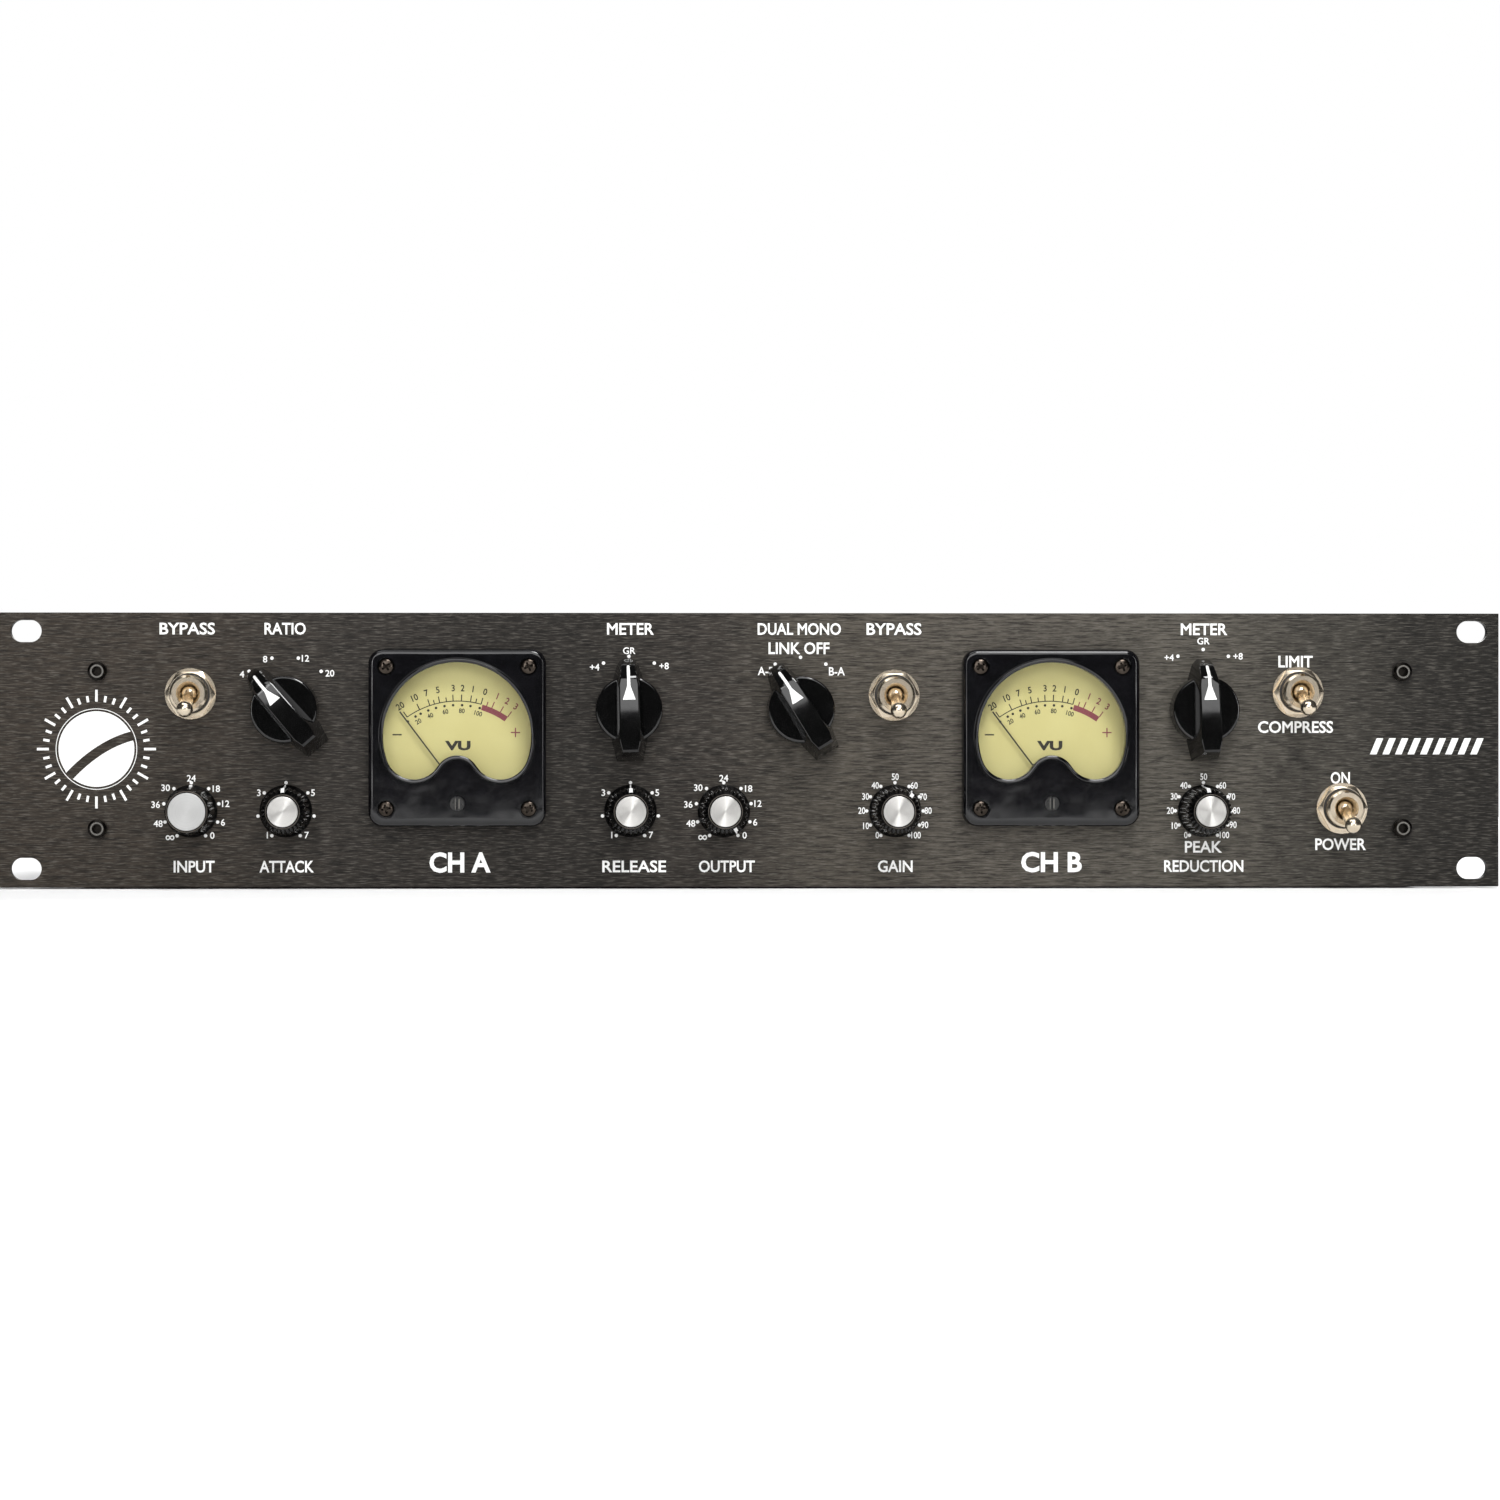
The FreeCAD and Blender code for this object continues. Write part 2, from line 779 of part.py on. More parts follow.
def rear_panel():
    size = (D.case_width, D.case_height, D.rear_thickness)
    plate = box("rear_plate", size, 0, 0, -D.rear_thickness)
    depth = D.rear_thickness * 3
    low = -D.rear_thickness * 2
    holes = []
    for i, x in enumerate(xlr_places("input") + xlr_places("output"), start=1):
        holes.append(cylinder(f"xlr_hole_{i}", D.xlr_hole_radius, depth, -x, 0, low))
        for side in (-1, 1):
            name = f"xlr_screw_hole_{i}_{side + 1}"
            across, up = side * D.xlr_screw_across, -side * D.xlr_screw_up
            holes.append(cylinder(name, D.screw_radius, depth, across - x, up, low))
    for i, (x, up) in enumerate(rear_screw_places(), start=1):
        holes.append(cylinder(f"plate_hole_{i}", D.clear_hole_radius, depth, -x, up, low))
    cutout = (D.inlet_body_width, D.inlet_body_height, depth)
    holes.append(box("inlet_cutout", cutout, -D.inlet_across, 0, low))
    for side in (-1, 1):
        across = side * D.inlet_screw_across - D.inlet_across
        holes.append(cylinder(f"inlet_hole_{side + 1}", D.screw_radius, depth, across, 0, low))
    on_rear(node("rear_panel", cut("rear", plate, *holes)))


# ---- Screws and nuts. ----


def pan_screw(name, length):
    """Pan head screw: the head's underside is at local z = 0 and the shank goes down."""
    head = cylinder(f"{name}_head", D.screw_head_radius, D.screw_head_height)
    head = round_edges(f"{name}_dome", head, D.screw_head_height / 2, edge_at_height(D.screw_head_height))
    shank = cylinder(f"{name}_shank", D.screw_radius, length, z=-length)
    top = D.screw_head_height - D.cross_depth
    across = box(f"{name}_cross_1", (D.cross_length, D.cross_width, D.cross_depth * 2), z=top)
    along = box(f"{name}_cross_2", (D.cross_width, D.cross_length, D.cross_depth * 2), z=top)
    return cut(name, fuse(f"{name}_blank", head, shank), across, along)


def machine_screws():
    master = pan_screw("pan_screw", D.screw_length)
    screws = [place(copy_of(master), x, y, COVER_TOP) for x, y in cover_screw_places()]
    screws += [place(copy_of(master), x, y, BOARD_TOP) for x, y in board_screw_places()]
    screws += [on_rear(copy_of(master), x, up) for x, up in rear_screw_places()]
    for x in xlr_places("input") + xlr_places("output"):
        for side in (-1, 1):
            across, up = side * D.xlr_screw_across, -side * D.xlr_screw_up
            screws.append(on_rear(copy_of(master), x - across, up, D.xlr_flange))
    for side in (-1, 1):
        x = D.inlet_across - side * D.inlet_screw_across
        screws.append(on_rear(copy_of(master), x, 0, D.inlet_flange))
    group("machine_screws", screws)


def meter_screws():
    master = pan_screw("meter_screw", D.meter_screw_length)
    seat = FRONT_FACE + D.bezel_thickness - D.meter_screw_seat_depth
    group("meter_screws", [on_front(copy_of(master), x, up, seat) for x, up in meter_screw_places()])


def panel_screws():
    height, chamfer = D.socket_head_height, D.socket_head_chamfer
    radius, length = D.socket_head_radius, D.socket_shank_length
    head = cylinder("socket_head", radius, height - chamfer)
    crown = cone("socket_crown", radius, radius - chamfer, chamfer, height - chamfer)
    shank = cylinder("socket_shank", D.socket_shank_radius, length, z=-length)
    key = hexagon("socket_key", D.socket_across_flats, height, height - D.socket_depth)
    master = cut("socket_screw", fuse("socket_blank", head, crown, shank), key)
    places = [(sx * D.panel_screw_across, sy * D.panel_screw_up) for sx, sy in CORNERS]
    group("panel_screws", [on_front(copy_of(master), x, up, FRONT_FACE) for x, up in places])


def nut(name, across_flats, height, bore):
    """Hexagon nut with its front corners chamfered."""
    blank = hexagon(f"{name}_blank", across_flats, height)
    corner = across_flats / math.sqrt(3)
    trim = cone(f"{name}_trim", corner + height, across_flats / 2 - height / 8, height)
    shaped = doc.addObject("Part::Common", f"{name}_shaped")
    shaped.Base = blank
    shaped.Tool = trim
    return cut(name, shaped, cylinder(f"{name}_bore", bore, height))


def panel_nuts():
    """Washers and nuts of the toggles, and the nuts of selectors, potentiometers and meters."""
    ring = cylinder("washer_disc", D.toggle_washer_radius, D.toggle_washer_height)
    hole = cylinder("washer_hole", D.toggle_bushing_radius, D.toggle_washer_height)
    washer = cut("toggle_washer", ring, hole)
    toggle_nut = nut("toggle_nut", D.toggle_nut_flats, D.toggle_nut_height, D.toggle_bushing_radius)
    selector_nut = nut("selector_nut", D.selector_nut_flats, D.nut_height, D.selector_bushing_radius)
    pot_nut = nut("pot_nut", D.pot_nut_flats, D.nut_height, D.pot_bushing_radius)
    meter_nut = nut("meter_nut", D.meter_nut_flats, D.meter_nut_height, D.screw_radius)
    pieces = []
    for name in TOGGLES:
        x, up = toggle_place(name)
        pieces.append(on_front(copy_of(washer), x, up, FRONT_FACE))
        pieces.append(on_front(copy_of(toggle_nut), x, up, FRONT_FACE + D.toggle_washer_height))
    pieces += [on_front(copy_of(selector_nut), x, up, FRONT_FACE) for x, up in selector_places()]
    pieces += [on_front(copy_of(pot_nut), x, up, FRONT_FACE) for x, up in pot_places()]
    below = -D.meter_nut_height
    pieces += [on_front(copy_of(meter_nut), x, up, below) for x, up in meter_screw_places()]
    group("panel_nuts", pieces)


# ---- Knobs, shafts and what they turn. ----


def round_knob(name, shoulder_height, top_radius, cap_radius):
    """Skirted knob with a hollow foot over the nut, a shaft bore and a seat for its cap."""
    seat = D.knob_height - D.cap_seat
    return turned(name, [
        (D.knob_recess_radius, 0),
        (D.knob_skirt_radius, 0),
        (D.knob_skirt_radius, D.knob_rim),
        (D.knob_foot_radius, D.knob_foot_height),
        (D.knob_shoulder_radius, shoulder_height),
        (top_radius, D.knob_height),
        (cap_radius, D.knob_height),
        (cap_radius, seat),
        (0, seat),
        (0, D.knob_bore_depth),
        (D.shaft_radius, D.knob_bore_depth),
        (D.shaft_radius, D.knob_recess_depth),
        (D.knob_recess_radius, D.knob_recess_depth),
    ])


def knob_cap(name, radius):
    return turned(name, [
        (0, 0),
        (radius, 0),
        (radius, D.cap_thickness - D.cap_chamfer),
        (radius - D.cap_chamfer, D.cap_thickness),
        (0, D.cap_thickness),
    ])


def control_shaft(name):
    """Shaft with a flat at its front end; local z = 0 is the panel's front face."""
    rod = cylinder(f"{name}_rod", D.shaft_radius, D.shaft_reach + D.shaft_tail, z=-D.shaft_tail)
    width = D.shaft_radius * 2
    size = (width, D.shaft_radius, width)
    flat = box(f"{name}_flat", size, 0, width, D.shaft_reach - width / 2)
    return cut(name, rod, flat)


def round_controls():
    for name, turn in POT_TURNS.items():
        x = getattr(D, f"{name}_across")
        wide = name == "input"
        shoulder = D.wide_shoulder_height if wide else D.knob_shoulder_height
        top = D.wide_top_radius if wide else D.knob_top_radius
        cap = D.wide_cap_radius if wide else D.knob_cap_radius
        base = FRONT_FACE + D.knob_gap
        knob = node(f"{name}_knob", round_knob(f"{name}_knob", shoulder, top, cap))
        on_front(knob, x, D.pot_up, base, turn)
        lid = node(f"{name}_knob_cap", knob_cap(f"{name}_knob_cap", cap))
        on_front(lid, x, D.pot_up, base + D.knob_height - D.cap_seat, turn)
        shaft = node(f"{name}_shaft", control_shaft(f"{name}_shaft"))
        on_front(shaft, x, D.pot_up, FRONT_FACE, turn)


def pointer_knob(name):
    """Bar knob: a drafted disc, a drafted bar along local y and a nose that slopes down."""
    body = new_body(name)
    disc = sketch_on(body, "XY_Plane", f"{name}_disc")
    draw_circle(disc, D.pointer_disc_radius)
    pad(body, disc, D.pointer_disc_height, D.pointer_disc_draft)
    bar = sketch_on(body, "XY_Plane", f"{name}_bar")
    left = [
        (-D.pointer_tail_half, -D.pointer_tail),
        (-D.pointer_flare_half, -D.pointer_flare),
        (-D.pointer_half, D.pointer_shoulder),
        (-D.pointer_nose_half, D.pointer_nose - D.pointer_nose_half / 2),
        (-D.pointer_nose_half / 2, D.pointer_nose),
    ]
    draw_polygon(bar, left + [(-x, y) for x, y in reversed(left)])
    pad(body, bar, D.pointer_height, D.pointer_draft)
    nose = sketch_on(body, "YZ_Plane", f"{name}_nose")
    beyond, above = D.pointer_nose + D.knob_rim, D.pointer_height + D.knob_rim
    draw_polygon(nose, [
        (D.ridge_front, D.pointer_height),
        (D.nose_knee_reach, D.nose_knee_height),
        (D.pointer_nose, D.nose_foot_height),
        (beyond, D.nose_foot_height),
        (beyond, above),
        (D.ridge_front, above),
    ])
    pocket(body, nose, D.pointer_disc_radius * 2, midplane=True)
    recess = sketch_on(body, "XY_Plane", f"{name}_recess")
    draw_circle(recess, D.pointer_recess_radius)
    pocket(body, recess, D.knob_recess_depth)
    bore = sketch_on(body, "XY_Plane", f"{name}_bore")
    draw_circle(bore, D.shaft_radius)
    pocket(body, bore, D.knob_bore_depth)
    return body


def pointer_controls():
    for name, turn in SELECTOR_TURNS.items():
        stem = name.replace("_knob", "")
        x = getattr(D, f"{name}_across")
        knob = node(f"{stem}_knob", pointer_knob(f"{stem}_knob"))
        on_front(knob, x, D.selector_up, FRONT_FACE + D.knob_gap, turn)
        shaft = node(f"{stem}_shaft", control_shaft(f"{stem}_shaft"))
        on_front(shaft, x, D.selector_up, FRONT_FACE, turn)


def rotary_body(name, radius, depth, bushing_radius):
    """Round case behind the panel, bushing through it, and a blind bore for the shaft."""
    case = cylinder(f"{name}_case", radius, depth, z=-D.panel_thickness - depth)
    length = D.bushing_reach + D.panel_thickness
    bushing = cylinder(f"{name}_bushing", bushing_radius, length, z=-D.panel_thickness)
    bore_radius = D.shaft_radius + D.shaft_clearance
    tail = D.shaft_tail + D.knob_gap
    bore = cylinder(f"{name}_bore", bore_radius, tail + D.bushing_reach, z=-tail)
    lugs = []
    for side in (-1, 0, 1):
        size = (D.lug_thickness * 2, D.lug_length, D.lug_thickness)
        x = side * D.lug_width
        lugs.append(box(f"{name}_lug_{side + 1}", size, x, -radius, -D.panel_thickness - depth / 2))
    return cut(name, fuse(f"{name}_blank", case, bushing, *lugs), bore)


def rotary_parts():
    pot = rotary_body("pot", D.pot_radius, D.pot_depth, D.pot_bushing_radius)
    group("potentiometers", [on_front(copy_of(pot), x, up, FRONT_FACE) for x, up in pot_places()])
    switch = rotary_body("selector", D.selector_radius, D.selector_depth, D.selector_bushing_radius)
    places = selector_places()
    group("rotary_switches", [on_front(copy_of(switch), x, up, FRONT_FACE) for x, up in places])


# ---- Toggle switches; local z = 0 is the panel's front face. ----


def toggle_body():
    back = -D.panel_thickness
    ledge = D.toggle_shoulder
    shoulder = cylinder("toggle_ledge", D.toggle_shoulder_radius, ledge, z=back - ledge)
    low = back - D.toggle_shoulder - D.toggle_depth
    case = box("toggle_case", (D.toggle_width, D.toggle_length, D.toggle_depth), z=low)
    straight = D.toggle_bushing_reach - D.toggle_bushing_chamfer
    stem = cylinder("toggle_stem", D.toggle_bushing_radius, straight + D.panel_thickness, z=back)
    chamfer = D.toggle_bushing_chamfer
    lip = cone("toggle_lip", D.toggle_bushing_radius, D.toggle_bushing_mouth, chamfer, straight)
    lugs = []
    for step in (-1, 0, 1):
        size = (D.lug_width, D.lug_thickness, D.lug_length)
        lugs.append(box(f"toggle_lug_{step + 1}", size, 0, step * D.lug_pitch, low - D.lug_length))
    well = cylinder("toggle_well", D.toggle_well_radius, D.toggle_well_top + D.panel_thickness, z=back)
    top = D.toggle_well_top
    mouth_depth = D.toggle_bushing_reach - top
    mouth = cone("toggle_mouth", D.toggle_well_radius, D.toggle_mouth_radius, mouth_depth, top)
    keyway = box("toggle_keyway", (D.keyway_width, D.keyway_depth * 2, D.toggle_bushing_reach), 0,
                 D.toggle_bushing_radius, D.toggle_washer_height)
    half = D.toggle_pin_half + D.shaft_clearance * 2
    pin_hole = cylinder("toggle_pin_hole", D.toggle_pin_radius + D.shaft_clearance, half * 2)
    place(pin_hole, -half, 0, D.toggle_pivot_height, Rotation(Vector(0, 1, 0), 90))
    blank = fuse("toggle_blank", shoulder, case, stem, lip, *lugs)
    return cut("toggle_switch", blank, well, mouth, keyway, pin_hole)


def toggle_lever(name):
    """Bat lever with its pivot ball at local z = 0, a stub into the switch and a cross pin."""
    neck = D.lever_length - D.lever_tip_radius
    bat = cone(f"{name}_bat", D.lever_waist_radius, D.lever_neck_radius, neck)
    tip = sphere(f"{name}_tip", D.lever_tip_radius, neck)
    ball = sphere(f"{name}_ball", D.toggle_ball_radius)
    stub = cylinder(f"{name}_stub", D.lever_stub_radius, D.lever_stub_length, z=-D.lever_stub_length)
    pin = cylinder(f"{name}_pin", D.toggle_pin_radius, D.toggle_pin_half * 2, -D.toggle_pin_half,
                   rotation=Rotation(Vector(0, 1, 0), 90))
    return fuse(name, bat, tip, ball, stub, pin)


def toggles():
    switch = toggle_body()
    places = [toggle_place(name) for name in TOGGLES]
    group("toggle_switches", [on_front(copy_of(switch), x, up, FRONT_FACE) for x, up in places])
    down = Rotation(Vector(1, 0, 0), D.lever_tilt.value).multiply(TO_FRONT)
    for name, (x, up) in zip(TOGGLES, places):
        lever = node(f"{name}_lever", toggle_lever(f"{name}_lever"))
        place(lever, x, -(FRONT_FACE + D.toggle_pivot_height), up, down)


# ---- Meters; local z = 0 is the panel's front face and local (0, 0) the bezel's middle. ----


def window_wire(margin):
    """Outline of the window grown by margin: a big arc, two lobes and a hump, each tangent to the next."""
    big, lobe = D.window_radius.value, D.lobe_radius.value
    rise, top = D.window_rise.value, D.hump_top.value
    lobe_up = D.lobe_floor.value + lobe
    lobe_across = math.sqrt((big - lobe) ** 2 - (rise - lobe_up) ** 2)
    drop = top - lobe_up
    hump = (lobe_across ** 2 + drop ** 2 - lobe ** 2) / (2 * (lobe + drop))
    crown = Vector(0, rise, 0)
    hip = Vector(0, top - hump, 0)
    right = Vector(lobe_across, lobe_up, 0)
    left = Vector(-lobe_across, lobe_up, 0)

    def reach(centre, towards, radius):
        return centre + (towards - centre).normalize() * radius

    outer = lobe + margin
    high_right = right + (right - crown).normalize() * outer
    high_left = left + (left - crown).normalize() * outer
    low_right, low_left = reach(right, hip, outer), reach(left, hip, outer)
    arcs = (
        Part.Arc(high_right, crown + Vector(0, big + margin, 0), high_left),
        Part.Arc(high_left, left + Vector(0, -outer, 0), low_left),
        Part.Arc(low_left, hip + Vector(0, hump - margin, 0), low_right),
        Part.Arc(low_right, right + Vector(0, -outer, 0), high_right),
    )
    return Part.Wire([arc.toShape() for arc in arcs])


def meter_bezel():
    side = D.bezel_side
    block = box("bezel_block", (side, side, D.bezel_thickness))
    sides = round_edges("bezel_sides", block, D.bezel_corner, upright_edge)
    plate = round_edges("bezel_plate", sides, D.bezel_edge, edge_at_height(D.bezel_thickness))
    collar = extruded("bezel_collar", window_wire(D.collar_width.value), D.collar_rise + D.bezel_wall,
                      D.bezel_thickness - D.bezel_wall)
    solid = fuse("bezel_solid", plate, collar)
    opening = extruded("bezel_opening", window_wire(0), D.bezel_thickness + D.collar_rise)
    recess = cylinder("bezel_recess", D.bezel_recess_radius, D.bezel_thickness - D.bezel_wall)
    bores = []
    half = D.meter_screw_spacing / 2
    seat = D.bezel_thickness - D.meter_screw_seat_depth
    for i, (sx, sy) in enumerate(CORNERS, start=1):
        x, y = sx * half, sy * half
        bores.append(cylinder(f"bezel_bore_{i}", D.clear_hole_radius, D.bezel_thickness, x, y))
        bores.append(cylinder(f"bezel_seat_{i}", D.meter_screw_seat_radius, D.bezel_thickness, x, y, seat))
    adjuster_hole = D.adjuster_radius + D.adjuster_clearance
    bores.append(cylinder("bezel_adjuster_hole", adjuster_hole, D.bezel_thickness, 0, D.adjuster_up))
    return cut("bezel", solid, opening, recess, *bores)


def meter_dial():
    plate = cylinder("dial_plate", D.dial_radius, D.dial_thickness)
    hole = cylinder("dial_hole", D.dial_hole_radius, D.dial_thickness, 0, D.pivot_up)
    return cut("dial", plate, hole)


def meter_housing():
    """Can behind the dial with a magnet ring around the pivot, two terminal studs on its back."""
    can = cylinder("can_shell", D.can_radius, D.can_depth, z=-D.can_depth)
    inside = cylinder("can_inside", D.can_radius - D.can_wall, D.can_depth, z=D.can_wall - D.can_depth)
    ring = cylinder("magnet_ring", D.magnet_radius, D.can_depth + D.magnet_base + D.magnet_length,
                    0, D.pivot_up, -D.can_depth)
    bore = cylinder("magnet_bore", D.magnet_bore, D.magnet_length, 0, D.pivot_up, D.magnet_base)
    end = -D.can_depth - D.lug_length
    studs = [
        cylinder(f"can_stud_{side + 1}", D.screw_radius, D.lug_length, side * D.lug_pitch, 0, end)
        for side in (-1, 1)
    ]
    return cut("can", fuse("can_blank", cut("can_empty", can, inside), ring, *studs), bore)


def meter_needle(name):
    """Pointer, hub, shaft and moving coil, about local z; the pointer runs along local y."""
    size = (D.needle_width, D.needle_reach + D.needle_tail, D.needle_thickness)
    pointer = box(f"{name}_pointer", size, 0, (D.needle_reach - D.needle_tail) / 2, D.needle_height)
    hub = cylinder(f"{name}_hub", D.needle_hub_radius, D.needle_hub_height, z=D.needle_hub_base)
    shaft = cylinder(f"{name}_shaft", D.needle_shaft_radius, D.needle_hub_base - D.coil_base, z=D.coil_base)
    coil = cylinder(f"{name}_coil", D.coil_radius, D.coil_length, z=D.coil_base)
    return fuse(name, pointer, hub, shaft, coil)


def zero_adjuster(name):
    """Slotted plug through the bezel, with a flange and a crank pin behind it."""
    under = D.bezel_thickness - D.bezel_wall
    plug = cylinder(f"{name}_plug", D.adjuster_radius, D.bezel_wall + D.adjuster_proud, z=under)
    flange = cylinder(f"{name}_flange", D.adjuster_flange_radius, D.adjuster_flange_height,
                      z=under - D.adjuster_flange_height)
    crank = cylinder(f"{name}_crank", D.crank_radius, D.crank_length, 0, -D.crank_offset,
                     under - D.adjuster_flange_height - D.crank_length)
    slot = box(f"{name}_slot", (D.adjuster_slot_width, D.adjuster_radius * 3, D.adjuster_slot_depth * 2),
               z=under + D.bezel_wall + D.adjuster_proud - D.adjuster_slot_depth)
    return cut(name, fuse(f"{name}_blank", plug, flange, crank), slot)


def meters():
    pane = extruded("meter_pane", window_wire(0), D.pane_thickness)
    rows = (
        ("meter_bezels", meter_bezel(), 0),
        ("meter_windows", pane, D.pane_height),
        ("meter_dials", meter_dial(), 0),
        ("meter_housings", meter_housing(), 0),
    )
    for label, master, height in rows:
        group(label, [on_front(copy_of(master), x, up, FRONT_FACE + height) for x, up in meter_places()])
    for letter, (x, up) in zip("ab", meter_places()):
        needle = node(f"meter_{letter}_needle", meter_needle(f"meter_{letter}_needle"))
        on_front(needle, x, up + D.pivot_up, FRONT_FACE, D.rest_needle.value)
        adjuster = node(f"zero_adjuster_{letter}", zero_adjuster(f"zero_adjuster_{letter}"))
        on_front(adjuster, x, up + D.adjuster_up, FRONT_FACE, 0)


# ---- Rear sockets; local z = 0 is the rear panel's outer face. ----


def xlr_shell(name):
    size = (D.xlr_width, D.xlr_height, D.xlr_flange)
    flange = round_edges(f"{name}_flange", box(f"{name}_plate", size), D.xlr_corner, upright_edge)
    barrel = cylinder(f"{name}_barrel", D.xlr_body_radius, D.xlr_body_depth, z=-D.xlr_body_depth)
    return fuse(f"{name}_shell", flange, barrel)


def xlr_screw_holes(name):
    across, up, flange = D.xlr_screw_across, D.xlr_screw_up, D.xlr_flange
    places = ((across, -up), (-across, up))
    return [
        cylinder(f"{name}_hole_{i}", D.clear_hole_radius, flange * 3, x, y, -flange)
        for i, (x, y) in enumerate(places, start=1)
    ]


def pin_places():
    """Contacts on their circle, one below and two above."""
    turns = [math.radians(angle) for angle in PIN_ANGLES]
    return [(D.xlr_pin_circle * math.cos(turn), D.xlr_pin_circle * math.sin(turn)) for turn in turns]


def xlr_input():
    """Female socket: a shell with a cup and a pocket for the latch, and an insert with three holes."""
    floor = D.xlr_flange - D.xlr_cup_depth
    cup = cylinder("input_cup", D.xlr_cup_radius, D.xlr_cup_depth, z=floor)
    spare = D.latch_clearance * 2
    pocket_size = (D.latch_width + spare, D.latch_height + spare, D.xlr_flange)
    latch_pocket = box("input_latch_pocket", pocket_size, 0, D.latch_up, D.latch_pocket_floor)
    shell = cut("input_socket", xlr_shell("input"), cup, latch_pocket, *xlr_screw_holes("input"))
    core = cylinder("input_core", D.xlr_core_radius, D.xlr_cup_depth, z=floor)
    contacts = [
        cylinder(f"input_contact_{i}", D.xlr_pin_socket_radius, D.xlr_cup_depth, x, y, floor)
        for i, (x, y) in enumerate(pin_places(), start=1)
    ]
    return shell, cut("input_insert", core, *contacts)


def xlr_output():
    """Male socket: a cup with three pins standing in it."""
    floor = D.xlr_flange - D.xlr_cup_depth
    cup = cylinder("output_cup", D.xlr_cup_radius, D.xlr_cup_depth, z=floor)
    emptied = cut("output_emptied", xlr_shell("output"), cup, *xlr_screw_holes("output"))
    pins = [
        cylinder(f"output_pin_{i}", D.xlr_pin_radius, D.xlr_cup_depth, x, y, floor - D.xlr_pin_inset)
        for i, (x, y) in enumerate(pin_places(), start=1)
    ]
    return fuse("output_socket", emptied, *pins)


def sockets():
    male = xlr_output()
    pieces = [on_rear(copy_of(piece), x) for piece in xlr_input() for x in xlr_places("input")]
    group("xlr_sockets", pieces)
    group("xlr_plugs", [on_rear(copy_of(male), x) for x in xlr_places("output")])
    size = (D.latch_width, D.latch_height, D.latch_thickness)
    for letter, x in zip("ab", xlr_places("input")):
        name = f"xlr_latch_{letter}"
        button = box(f"{name}_block", size)
        latch = round_edges(f"{name}_button", button, D.latch_clearance, edge_at_height(D.latch_thickness))
        on_rear(node(name, latch), x, D.latch_up, D.latch_base)


def mains_inlet():
    """Inlet with three blades in its cavity, ears for two screws, and a slot for the fuse drawer."""
    ears = (D.inlet_ear_width, D.inlet_height, D.inlet_flange)
    flange = round_edges("inlet_flange", box("inlet_plate", ears), D.xlr_corner, upright_edge)
    shell_size = (D.inlet_body_width, D.inlet_body_height, D.inlet_body_depth)
    shell = box("inlet_shell", shell_size, z=-D.inlet_body_depth)
    cavity_size = (D.inlet_cavity_width, D.inlet_cavity_height, D.inlet_cavity_depth)
    floor = D.inlet_flange - D.inlet_cavity_depth
    cavity = box("inlet_cavity", cavity_size, 0, D.inlet_cavity_up, floor)
    slot_size = (D.drawer_slot_width, D.drawer_slot_height, D.drawer_slot_depth)
    slot = box("drawer_slot", slot_size, 0, D.drawer_up, D.inlet_flange - D.drawer_slot_depth)
    holes = [
        cylinder(f"inlet_ear_hole_{side + 1}", D.clear_hole_radius, D.inlet_flange * 3,
                 side * D.inlet_screw_across, 0, -D.inlet_flange)
        for side in (-1, 1)
    ]
    emptied = cut("inlet_emptied", fuse("inlet_blank", flange, shell), cavity, slot, *holes)
    blade = (D.blade_width, D.blade_height, D.blade_length)
    places = ((-D.blade_pitch, D.blade_up), (D.blade_pitch, D.blade_up), (0, D.earth_up))
    blades = [
        box(f"blade_{i}", blade, x, y, floor - D.blade_width) for i, (x, y) in enumerate(places, start=1)
    ]
    on_rear(node("mains_inlet", fuse("inlet", emptied, *blades)), D.inlet_across)


def fuse_drawer():
    """Drawer that carries the fuse across it, and the fuse itself."""
    spare = D.drawer_clearance * 2
    width, height = D.drawer_slot_width - spare, D.drawer_slot_height - spare
    base = D.inlet_flange - D.drawer_length
    block = box("drawer_block", (width, height, D.drawer_length), 0, 0, base)
    pocket_size = (D.fuse_length, D.fuse_pocket_depth, D.fuse_pocket)
    middle = D.inlet_flange + D.fuse_back
    hollow = box("drawer_hollow", pocket_size, 0, height / 2, middle - D.fuse_pocket / 2)
    drawer = cut("drawer", block, hollow)
    glass = cylinder("fuse", D.fuse_radius, D.fuse_length, -D.fuse_length / 2, height / 8, middle,
                     Rotation(Vector(0, 1, 0), 90))
    on_rear(group("fuse_drawer", [drawer, glass]), D.inlet_across, D.drawer_up)


# ---- What stands inside the case. ----


def mains_transformer():
    ring = cylinder("toroid_ring", D.toroid_radius, D.toroid_height)
    bore = cylinder("toroid_bore", D.toroid_bore, D.toroid_height)
    width = D.toroid_radius.value * 2

    def outer_rim(edge):
        return edge.Closed and abs(edge.BoundBox.XLength - width) < 1e-3

    coil = round_edges("toroid_coil", cut("toroid_blank", ring, bore), D.toroid_edge, outer_rim)
    dish = cylinder("toroid_dish", D.toroid_dish_radius, D.toroid_dish_height, z=D.toroid_height)
    hole = cylinder("toroid_dish_hole", D.toroid_bolt_radius, D.toroid_height * 2)
    bolt_length = D.toroid_height + D.toroid_dish_height * 2 + D.sheet_thickness
    bolt = cylinder("toroid_bolt", D.toroid_bolt_radius, bolt_length, z=-D.sheet_thickness)
    transformer = group("mains_transformer", [coil, cut("toroid_washer", dish, hole), bolt])
    place(transformer, D.toroid_across, D.toroid_back, FLOOR_TOP)


